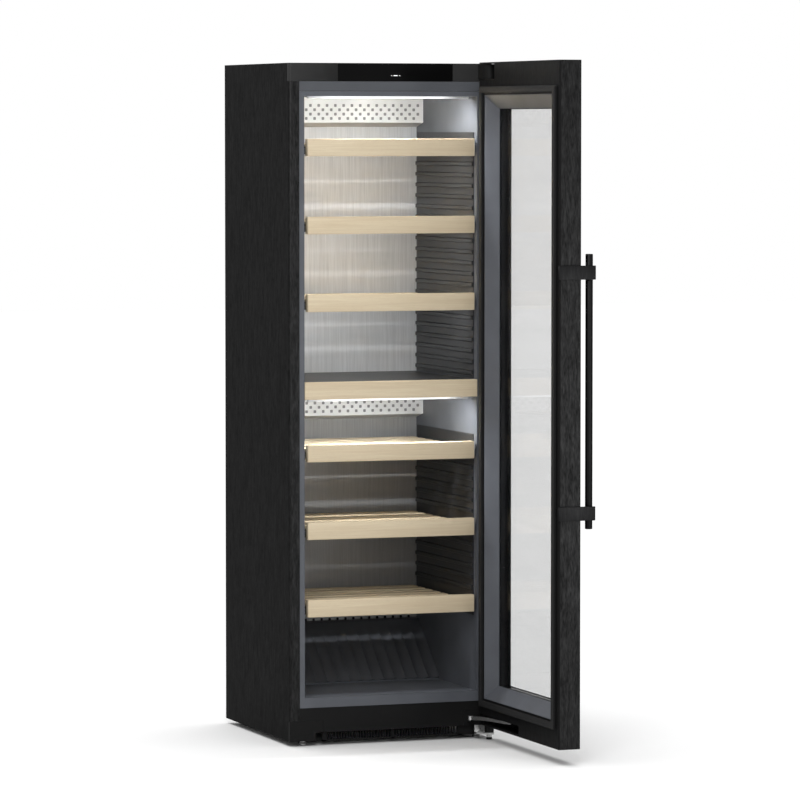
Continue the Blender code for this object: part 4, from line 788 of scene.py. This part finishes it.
def add_step_cover():
    """The fluted moulding that covers the sloping step over the machine compartment; its grey is a
    darker copy of the liner's, painted shade.
    """
    left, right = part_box("wall_rack_lower_left")[0].x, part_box("wall_rack_lower_right")[1].x
    foot, brow, lip = Vector(STEP_FOOT), Vector(STEP_BROW), Vector((STEP_LIP, STEP_BROW[1]))
    slope = (brow - foot).normalized()
    out = Vector((-slope.y, slope.x))
    length = (brow - foot).length
    columns, rows, thick, clear_by = FLUTES * 10, 26, 0.0018, 0.0004
    bm = bmesh.new()
    front, back = [], []
    for row in range(rows + 2):
        share = min(row / rows, 1.0)
        if row <= rows:
            base = foot + slope * (0.004 + (length - 0.004) * share)
            away = out
        else:
            base, away = lip, Vector((0.0, 1.0))
        rise = min(max((0.88 - share) / 0.16, 0.0), 1.0)
        rise = rise * rise * (3 - 2 * rise)
        line_front, line_back = [], []
        for column in range(columns + 1):
            across = column / columns
            wave = abs(math.sin(math.pi * FLUTES * across)) ** 0.75
            lift = thick + FLUTE_DEPTH * (1 - wave * rise)
            x = left + 0.0004 + (right - left - 0.0008) * across
            for line, height in ((line_front, clear_by + lift), (line_back, clear_by)):
                spot = base + away * height
                line.append(bm.verts.new((x, FRONT + spot.x, spot.y)))
        front.append(line_front)
        back.append(line_back)
    for sheet in (front, back):
        for lower, upper in zip(sheet, sheet[1:]):
            for column in range(columns):
                bm.faces.new((lower[column], lower[column + 1], upper[column + 1], upper[column]))
    for row in (0, -1):
        for column in range(columns):
            bm.faces.new((front[row][column], front[row][column + 1], back[row][column + 1],
                          back[row][column]))
    for column in (0, -1):
        for row in range(len(front) - 1):
            bm.faces.new((front[row][column], front[row + 1][column], back[row + 1][column],
                          back[row][column]))
    settle(piece("step_cover", bm, "cover_grey"), "cabinet")


def add_tray(number):
    """A beech tray: a rounded front strip, two stringers and a ladder of slats."""
    node = f"shelf_{number}_tray"
    low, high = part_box(node)
    middle = (low.x + high.x) / 2
    slat_top = high.z - SLAT_DROP
    first_y = low.y + STRIP_DEPTH + FIRST_SLAT
    bm = bmesh.new()
    add_box(bm, low, (high.x, low.y + STRIP_DEPTH, high.z), WOOD_EDGE, 3)
    for side in (-1, 1):
        near = middle + side * (SLAT_HALF - STRINGER_INSET)
        far = near - side * STRINGER[0]
        add_box(bm, (min(near, far), low.y + STRIP_DEPTH, slat_top - SLAT[1] - STRINGER[1]),
                (max(near, far), high.y, slat_top - SLAT[1]), 0.0008)
    start = bpy.data.meshes.new(node + "_sides")
    bm.to_mesh(start)
    bm.free()

    def slat(bm):
        add_box(bm, (-SLAT_HALF, -SLAT[0] / 2, -SLAT[1]), (SLAT_HALF, SLAT[0] / 2, 0.0), 0.0014, 3)

    unit = unit_object(node + "_slat", slat)
    grow = Growth(node)
    shape = grow.input("Slat", "Object", unit)
    count = grow.input("Slats", "Int", SLATS)
    first = grow.input("First", "Vector", (middle, first_y, slat_top))
    reach = high.y - SLAT[0] / 2 - first_y
    step = grow.input("Step", "Vector", (0.0, reach / (SLATS - 1), 0.0))
    line = grow.node("GeometryNodeMeshLine", ("Count", count), ("Start Location", first),
                     ("Offset", step), mode="OFFSET")
    info = grow.node("GeometryNodeObjectInfo", ("Object", shape))
    slats = grow.node("GeometryNodeInstanceOnPoints", ("Points", line.outputs[0]),
                      ("Instance", info.outputs["Geometry"]))
    whole = grow.node("GeometryNodeJoinGeometry")
    for source in (slats.outputs[0], grow.entry.outputs["Geometry"]):
        grow.tree.links.new(source, whole.inputs[0])
    made = grow.finish(whole.outputs[0], f"shelf_{number}_wood", start, "beech")
    bpy.data.objects.remove(unit)
    settle(made, f"shelf_{number}", node)


# ---- door -----------------------------------------------------------------------------------
def ring_opening(node):
    """The low and high corners of a rectangular ring's opening."""
    low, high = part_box(node)
    middle = (low + high) / 2
    corners = [v.co for v in frame["nodes"][node].data.vertices]
    half_y = min(abs(c.y - middle.y) for c in corners)
    half_z = min(abs(c.z - middle.z) for c in corners)
    return (Vector((low.x, middle.y - half_y, middle.z - half_z)),
            Vector((high.x, middle.y + half_y, middle.z + half_z)))


def add_flat_ring(bm, outer, inner, x0, x1):
    """A flat rectangular ring between two (low, high) outlines in Y and Z."""
    rings = []
    for x in (x0, x1):
        for low, high in (outer, inner):
            rings.append([bm.verts.new((x, y, z)) for y, z in
                          ((low[0], low[1]), (high[0], low[1]), (high[0], high[1]),
                           (low[0], high[1]))])
    for a, b in ((0, 1), (2, 3), (0, 2), (1, 3)):
        for k in range(4):
            n = (k + 1) % 4
            bm.faces.new((rings[a][k], rings[a][n], rings[b][n], rings[b][k]))


def add_glass_details():
    """The printed border on the outer pane and the middle pane of the triple glazing."""
    opening_low, opening_high = ring_opening("door_glass_spacer")
    pane_low, pane_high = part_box("door_outer_glass")
    spacer_low, spacer_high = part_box("door_glass_spacer")
    bm = bmesh.new()
    add_flat_ring(bm, ((pane_low.y, pane_low.z), (pane_high.y, pane_high.z)),
                  ((opening_low.y + FRIT, opening_low.z + 0.002),
                   (opening_high.y - FRIT, opening_high.z - 0.002)),
                  spacer_high.x + 0.00005, pane_low.x - 0.00005)
    settle(piece("glass_border", bm, "frit", smooth=False), "door")
    bm = bmesh.new()
    centre = (spacer_low.x + spacer_high.x) / 2
    add_box(bm, (centre - 0.0015, opening_low.y + 0.0003, opening_low.z + 0.0003),
            (centre + 0.0015, opening_high.y - 0.0003, opening_high.z - 0.0003))
    settle(piece("middle_pane", bm, "glass", smooth=False), "door")


def add_gasket():
    """The magnetic seal: a soft bellows profile carried round the door with mitred corners."""
    low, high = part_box("door_gasket")
    inner_low = ring_opening("door_gasket")[0]
    width, height = inner_low.y - low.y, high.x - low.x
    profile = [(0.06, 0.0), (0.94, 0.0), (0.98, 0.10), (0.84, 0.22), (0.84, 0.40), (0.96, 0.52),
               (0.86, 0.66), (0.97, 0.80), (0.95, 0.95), (0.86, 1.0), (0.14, 1.0),
               (0.05, 0.95), (0.03, 0.80), (0.14, 0.66), (0.04, 0.52), (0.16, 0.40),
               (0.16, 0.22), (0.02, 0.10)]
    bm = bmesh.new()
    rows = []
    for across, up in profile:
        inset = across * width
        x = high.x - up * height
        rows.append([bm.verts.new((x, y, z)) for y, z in
                     ((low.y + inset, low.z + inset), (high.y - inset, low.z + inset),
                      (high.y - inset, high.z - inset), (low.y + inset, high.z - inset))])
    for k, row in enumerate(rows):
        after = rows[(k + 1) % len(rows)]
        for corner in range(4):
            turn = (corner + 1) % 4
            bm.faces.new((row[corner], row[turn], after[turn], after[corner]))
    settle(piece("door_seal", bm, "rubber"), "door", "door_gasket")


def add_handle():
    """A round bar held on two flat arms with rounded ends."""
    low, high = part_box("handle_bar")
    radius = (high.x - low.x) / 2
    middle = (low + high) / 2
    rim = 0.0022
    profile = [(radius - rim * 1.6, low.z)]
    profile += [(radius - rim + rim * math.sin(a), low.z + rim - rim * math.cos(a))
                for a in (math.pi / 8, math.pi / 4, 3 * math.pi / 8, math.pi / 2)]
    profile += [(r, low.z + high.z - z) for r, z in reversed(profile)]
    bm = bmesh.new()
    add_lathe(bm, (middle.x, middle.y, 0.0), (0, 0, 1), profile, 48)
    settle(piece("handle_rod", bm, "black_handle"), "handle", "handle_bar")
    for place in ("lower", "upper"):
        node = "handle_arm_" + place
        low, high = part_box(node)
        half = (high.y - low.y) / 2
        mid_y = (low.y + high.y) / 2
        outline = []
        for x, start in ((high.x - half, -90), (low.x + half, 90)):
            outline += [(x + half * math.cos(math.radians(start + k * 15)),
                         mid_y + half * math.sin(math.radians(start + k * 15)))
                        for k in range(13)]
        bm = bmesh.new()
        add_prism(bm, outline, low.z, high.z, lambda a, b, c: (a, b, c))
        rims = [e for e in bm.edges if abs(e.verts[0].co.z - e.verts[1].co.z) < 1e-6]
        bmesh.ops.bevel(bm, geom=rims, offset=0.0009, segments=2, profile=0.5, affect="EDGES")
        settle(piece(f"handle_clamp_{place}", bm, "black_handle"), "handle", node)


# ---- base, hinges, machine space ------------------------------------------------------------
def add_feet():
    """Levelling feet: a broad foot, a hexagon to turn it by and a threaded stem."""
    for side in ("left", "right"):
        node = "front_foot_" + side
        low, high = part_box(node)
        centre, radius = (low + high) / 2, (high.x - low.x) / 2
        profile = [(radius * 0.90, 0.0), (radius, 0.0012), (radius, 0.0050),
                   (radius * 0.86, 0.0068), (radius * 0.55, 0.0074), (radius * 0.42, 0.0088),
                   (radius * 0.42, 0.0120)]
        turns, pitch, stem = 16, 0.00175, 0.0040
        for turn in range(turns):
            z = 0.0150 + turn * pitch
            profile += [(stem, z), (stem * 0.86, z + pitch * 0.5)]
        profile += [(stem, 0.0150 + turns * pitch), (stem, high.z - 0.0006),
                    (stem * 0.8, high.z)]
        bm = bmesh.new()
        add_lathe(bm, (centre.x, centre.y, 0.0), (0, 0, 1), profile, 36)
        hexagon = [(centre.x + 0.0075 * math.cos(math.radians(60 * k)),
                    centre.y + 0.0075 * math.sin(math.radians(60 * k))) for k in range(6)]
        add_prism(bm, hexagon, 0.0090, 0.0140, lambda a, b, c: (a, b, c))
        settle(piece(f"foot_{side}_stud", bm, "chrome"), "foot_" + side, node)


def add_rollers():
    """Rear rollers: a moulded wheel with a hub, a groove in the web and a grooved tread."""
    for side in ("left", "right"):
        node = "rear_roller_" + side
        low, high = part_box(node)
        centre, radius = (low + high) / 2, (high.z - low.z) / 2
        half = (high.x - low.x) / 2
        rim = [(radius * 0.98, 0.86), (radius, 0.70), (radius, 0.20), (radius * 0.965, 0.12)]
        web = [(radius * 0.24, 1.0), (radius * 0.40, 1.0), (radius * 0.44, 0.72),
               (radius * 0.78, 0.72), (radius * 0.82, 0.98), (radius * 0.93, 0.98)]
        face = web + rim
        profile = [(r, half * h) for r, h in face] + [(r, -half * h) for r, h in reversed(face)]
        bm = bmesh.new()
        add_lathe(bm, centre, (1, 0, 0), profile, 48)
        settle(piece(f"roller_{side}_wheel", bm, "black_moulding"), "roller_" + side,
               node)


def add_compressor():
    """A hermetic compressor: two pressed shells with a welded rim, and its terminal box."""
    low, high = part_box("compressor")
    centre, radius = (low + high) / 2, (high.x - low.x) / 2
    height = high.z - low.z
    profile = [(0.20, 0.03), (0.52, 0.04), (0.80, 0.10), (0.93, 0.20), (0.965, 0.30),
               (0.965, 0.52), (1.0, 0.53), (1.0, 0.56), (0.955, 0.57), (0.945, 0.70),
               (0.90, 0.80), (0.80, 0.90), (0.60, 0.965), (0.35, 0.992), (0.10, 1.0)]
    bm = bmesh.new()
    add_lathe(bm, (centre.x, centre.y, low.z), (0, 0, 1),
              [(r * radius, h * height) for r, h in profile], 56)
    foot = low.z + 0.004
    for side in (-1, 1):
        add_box(bm, (centre.x + side * 0.048 - 0.016, centre.y - 0.058, foot),
                (centre.x + side * 0.048 + 0.016, centre.y + 0.058, foot + 0.003), 0.001)
    settle(piece("compressor_shell", bm, "enamel"), "cabinet", "compressor")
    bm = bmesh.new()
    side = centre.x - radius
    add_box(bm, (side - 0.018, centre.y - 0.026, centre.z - 0.034),
            (side + 0.012, centre.y + 0.026, centre.z + 0.020), 0.004, 3)
    add_box(bm, (side - 0.0205, centre.y - 0.020, centre.z - 0.028),
            (side - 0.017, centre.y + 0.020, centre.z + 0.014), 0.0015)
    settle(piece("terminal_box", bm, "black_moulding"), "cabinet")


def add_pipes():
    """Copper pipes between the compressor, the condenser and the foam."""
    low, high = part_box("compressor")
    coil_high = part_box("condenser")[1]
    centre, radius = (low + high) / 2, (high.x - low.x) / 2
    routes = (
        [(centre.x - radius * 0.70, centre.y + radius * 0.62, low.z + 0.070),
         (centre.x - radius * 1.05, centre.y + radius * 0.80, low.z + 0.078),
         (centre.x - radius * 1.50, centre.y + 0.052, high.z - 0.012),
         (coil_high.x + 0.050, coil_high.y - 0.020, coil_high.z + 0.010),
         (coil_high.x - 0.020, coil_high.y - 0.022, coil_high.z + 0.010),
         (coil_high.x - 0.030, coil_high.y - 0.022, coil_high.z - 0.004)],
        [(centre.x + radius * 0.60, centre.y + radius * 0.72, low.z + 0.090),
         (centre.x + radius * 1.02, centre.y + radius * 0.86, low.z + 0.096),
         (centre.x + radius * 1.18, centre.y + radius * 0.90, high.z - 0.020),
         (centre.x + radius * 1.20, centre.y + radius * 0.94, high.z + 0.030),
         (centre.x + radius * 1.20, centre.y + radius * 0.98, high.z + 0.046)],
    )
    bm = bmesh.new()
    for route in routes:
        add_tube(bm, curved(route, 9), 0.0032)
    settle(piece("copper_pipes", bm, "copper"), "cabinet")


def add_condenser():
    """Fins on a serpentine tube, in two side plates."""
    low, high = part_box("condenser")
    tubes, radius, end = 5, 0.0035, 0.008
    rows = [low.z + 0.018 + k * (high.z - low.z - 0.036) / (tubes - 1) for k in range(tubes)]
    bm = bmesh.new()
    for column, y in enumerate((low.y + 0.034, high.y - 0.034)):
        for z in rows:
            line = [Vector((low.x + end, y, z)), Vector((high.x - end, y, z))]
            add_tube(bm, line, radius, 14)
        for k in range(tubes - 1):
            x = high.x - end if (k + column) % 2 == 0 else low.x + end
            way = 1 if x > (low.x + high.x) / 2 else -1
            bend = (rows[k + 1] - rows[k]) / 2
            arc = [Vector((x + way * min(math.sin(math.pi * s / 8) * end * 0.55, end),
                           y, rows[k] + bend - bend * math.cos(math.pi * s / 8)))
                   for s in range(9)]
            add_tube(bm, arc, radius * 0.98, 14)
    settle(piece("condenser_tubes", bm, "copper"), "cabinet")

    def fin(bm):
        add_box(bm, (-0.0002, low.y + 0.006, low.z + 0.004), (0.0002, high.y - 0.006,
                                                              high.z - 0.004))

    count = 38
    spots = [(low.x + 0.012 + k * (high.x - low.x - 0.024) / (count - 1), 0.0, 0.0)
             for k in range(count)]
    repeated("condenser_fins", spots, (0, 0, 1), fin, "galvanised",
             instead_of="condenser")
    bm = bmesh.new()
    for x in (low.x + 0.0095, high.x - 0.0107):
        add_box(bm, (x, low.y, low.z), (x + 0.0012, high.y, high.z), 0.0004, 1)
    settle(piece("condenser_plates", bm, "galvanised", smooth=False), "cabinet")


def add_hinge_shroud():
    """The black moulding round the top hinge's arm: round on the axis, with a neck to the body."""
    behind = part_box("top_hinge_bracket")[1].y
    outline = [(HINGE.x - SHROUD_RADIUS, behind)]
    outline += [(HINGE.x + SHROUD_RADIUS * math.cos(math.radians(angle)),
                 HINGE.y + SHROUD_RADIUS * math.sin(math.radians(angle)))
                for angle in range(180, 413, 8)]
    outline += [(HINGE.x + SHROUD_NARROW, HINGE.y + SHROUD_NECK), (HINGE.x + SHROUD_NARROW, behind)]
    bm = bmesh.new()
    add_prism(bm, outline, SHROUD_LOW, SHROUD_HIGH, lambda a, b, c: (a, b, c))
    settle(piece("hinge_shroud", bm, "black_moulding"), "cabinet")

def add_base_grille():
    """The black vent under the plinth: a frame with a middle post and upright louvres, and a
    plain end that reaches to the hinge."""
    cover_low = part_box("hinge_cover")[0]
    left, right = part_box("foot_cover")[1].x + 0.001, cover_low.x - 0.001
    plinth_low, plinth_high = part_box("plinth")
    low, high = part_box("base_pan")[0].z + 0.0015, plinth_low.z - 0.0003
    near, far = plinth_high.y - 0.0085, plinth_high.y - 0.0002
    middle = (left + right) / 2
    bm = bmesh.new()
    bars = [(left, right, low, low + 0.0045), (left, right, high - 0.0025, high)]
    bars += [(x - w, x + w, low, high) for x, w in ((left + 0.006, 0.006), (middle, 0.004),
                                                    (right - 0.006, 0.006))]
    for x0, x1, z0, z1 in bars:
        add_box(bm, (x0, near, z0), (x1, far, z1), 0.0006, 1)
    add_box(bm, (right - 0.004, near + 0.0010, low),
            (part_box("bottom_hinge_bracket")[0].x + 0.012, far, cover_low.z - 0.0004), 0.0006, 1)
    settle(piece("base_grille", bm, "black_moulding"), "cabinet")

    def louvre(bm):
        add_box(bm, (-0.0012, near + 0.0020, low), (0.0012, far - 0.0004, high))

    count = 48
    spots = [(left + 0.014 + k * (right - left - 0.028) / (count - 1), 0.0, 0.0)
             for k in range(count)]
    repeated("base_louvres", spots, (0, 0, 1), louvre, "black_moulding")


def add_small_parts():
    """Screws, the knob under the bottom hinge, beads on the rear panel, pins in the inlet and a
    plain indicator on the display."""
    bracket_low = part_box("bottom_hinge_bracket")[0]
    bm = bmesh.new()
    add_lathe(bm, (HINGE.x, HINGE.y, 0.0), (0, 0, 1),
              [(0.0070, 0.0006), (0.0084, 0.0016), (0.0086, 0.0046), (0.0078, 0.0060),
               (0.0050, bracket_low.z - 0.0002)], 32)
    settle(piece("hinge_knob", bm, "black_moulding"), "cabinet")

    low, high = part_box("rear_panel")
    step = (high.z - low.z - 0.06) / 6
    spots = [(x, high.y, low.z + 0.03 + k * step) for k in range(7)
             for x in (low.x + 0.014, high.x - 0.014)]
    repeated("rear_screws", spots, (0, 1, 0), screw_head, "zinc", SCREW_HEAD)
    bm = bmesh.new()
    width, bead = high.x - low.x, 0.007
    for k in range(4):
        z = low.z + 0.22 + k * (high.z - low.z - 0.44) / 3
        add_box(bm, (low.x + width * 0.12, high.y - 0.0006, z - bead),
                (high.x - width * 0.12, high.y + 0.0012, z + bead), 0.0010, 2)
    settle(piece("rear_beads", bm, "galvanised"), "cabinet")

    low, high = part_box("power_inlet")
    bm = bmesh.new()
    middle = (low + high) / 2
    for x, z in ((-0.0068, -0.0015), (0.0068, -0.0015), (0.0, 0.0035)):
        add_box(bm, (middle.x + x - 0.0010, low.y + 0.0035, middle.z + z - 0.0026),
                (middle.x + x + 0.0010, high.y - 0.0020, middle.z + z + 0.0026), 0.0004, 1)
    settle(piece("inlet_pins", bm, "zinc"), "cabinet")

    low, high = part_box("control_display")
    middle = (low + high) / 2
    bm = bmesh.new()
    for x, half in ((-0.012, 0.0012), (0.0, 0.0060), (0.012, 0.0012)):
        add_box(bm, (middle.x + x - half, low.y - SKIN_LIFT, low.z + 0.0150),
                (middle.x + x + half, low.y + SKIN_LIFT, low.z + 0.0166), 0.00015, 1)
    settle(piece("display_light", bm, "indicator"), "cabinet")


# ---- studio ---------------------------------------------------------------------------------
def area_light(name, place, target, size, power, colour=(1.0, 1.0, 1.0)):
    data = bpy.data.lights.new(name, "AREA")
    data.shape = "RECTANGLE"
    data.size, data.size_y = size
    data.energy = power
    data.color = colour
    made = bpy.data.objects.new(name, data)
    made.matrix_world = (Matrix.Translation(place)
                         @ (Vector(place) - Vector(target)).to_track_quat("Z", "Y")
                         .to_matrix().to_4x4())
    made.visible_camera = False
    made.visible_glossy = name in ("key", "front")
    bpy.context.scene.collection.objects.link(made)


def set_studio():
    """White floor and surround, soft light from the upper front, and light from the two strips."""
    scene = bpy.context.scene
    scene.view_settings.view_transform = "Standard"
    world = bpy.data.worlds.new("surround")
    world.use_nodes = True
    tree = world.node_tree
    back = tree.nodes["Background"]
    back.inputs["Color"].default_value = (1.0, 1.0, 1.0, 1.0)
    rays = tree.nodes.new("ShaderNodeLightPath").outputs
    seen = new_node(tree, "ShaderNodeMath", ((0, rays["Is Camera Ray"]),
                                             (1, rays["Is Transmission Ray"])),
                    {"operation": "MAXIMUM"}).outputs[0]
    level = new_node(tree, "ShaderNodeMapRange", (("Value", seen), ("To Min", AMBIENT)), {})
    tree.links.new(level.outputs["Result"], back.inputs["Strength"])
    scene.world = world
    bm = bmesh.new()
    bmesh.ops.create_grid(bm, x_segments=1, y_segments=1, size=FLOOR_SIZE / 2)
    mesh = bpy.data.meshes.new("floor")
    bm.to_mesh(mesh)
    bm.free()
    floor = bpy.data.objects.new("floor", mesh)
    floor.location = (0.0, 0.0, -0.0005)
    scene.collection.objects.link(floor)
    paint = Surface("floor_white", (0.9, 0.9, 0.9), 1.0, Specular_IOR_Level=0.0)
    path = paint.node("LightPath").outputs
    lit = paint.sum(path["Is Camera Ray"], path["Is Transmission Ray"], "MAXIMUM")
    paint.drive("Base Color", paint.blend(lit, (FLOOR_BOUNCE,) * 3, (0.9, 0.9, 0.9)))
    mesh.materials.append(paint.material)

    above = bpy.data.lights.new("overhead", "SUN")
    above.energy = OVERHEAD
    above.angle = math.radians(OVERHEAD_SPREAD)
    made = bpy.data.objects.new("overhead", above)
    scene.collection.objects.link(made)
    made.rotation_euler = (math.radians(-OVERHEAD_TILT), 0.0, 0.0)
    area_light("key", (-1.6, -3.6, 3.0), (0.0, 0.0, 1.3), (1.8, 1.8), KEY_POWER)
    area_light("front", (1.7, -4.4, 0.55), (0.0, 0.0, 0.9), (1.2, 1.4), FRONT_POWER)
    for number in range(1, 7):
        low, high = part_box(f"shelf_{number}_tray")
        middle = (low + high) / 2
        area_light(f"bay_light_{number}", (middle.x, low.y + 0.045, low.z - 0.004),
                   (middle.x, high.y, low.z - 0.13), (0.42, 0.012),
                   BAY_POWER if number < 4 else BAY_POWER * LOWER_SHARE)
    for zone, power in STRIP_POWERS:
        low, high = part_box(f"led_strip_{zone}")
        middle = (low + high) / 2
        area_light(f"strip_light_{zone}", (middle.x, middle.y, low.z - 0.002),
                   (middle.x, middle.y + 0.35, low.z - 0.75), (high.x - low.x - 0.08, 0.010),
                   power, (0.96, 0.98, 1.0))


def set_camera():
    data = bpy.data.cameras.new("camera")
    data.lens = LENS
    data.sensor_width = 36.0
    data.clip_end = 200.0
    made = bpy.data.objects.new("camera", data)
    ahead = Vector((math.sin(CAMERA_AZIMUTH) * math.cos(CAMERA_PITCH),
                    math.cos(CAMERA_AZIMUTH) * math.cos(CAMERA_PITCH), -math.sin(CAMERA_PITCH)))
    made.matrix_world = (Matrix.Translation(CAMERA_PLACE)
                         @ ahead.to_track_quat("-Z", "Y").to_matrix().to_4x4())
    bpy.context.scene.collection.objects.link(made)
    bpy.context.scene.camera = made


# ---- all together ---------------------------------------------------------------------------
set_camera()
set_studio()
dress_carried_nodes()
add_outer_skins()
add_air_cover("air_cover_upper")
add_air_cover("air_cover_lower")
add_lower_back_plate()
add_step_cover()
for shelf in range(1, 7):
    add_tray(shelf)
add_glass_details()
add_gasket()
add_handle()
add_feet()
add_rollers()
add_compressor()
add_pipes()
add_condenser()
add_hinge_shroud()
add_base_grille()
add_small_parts()
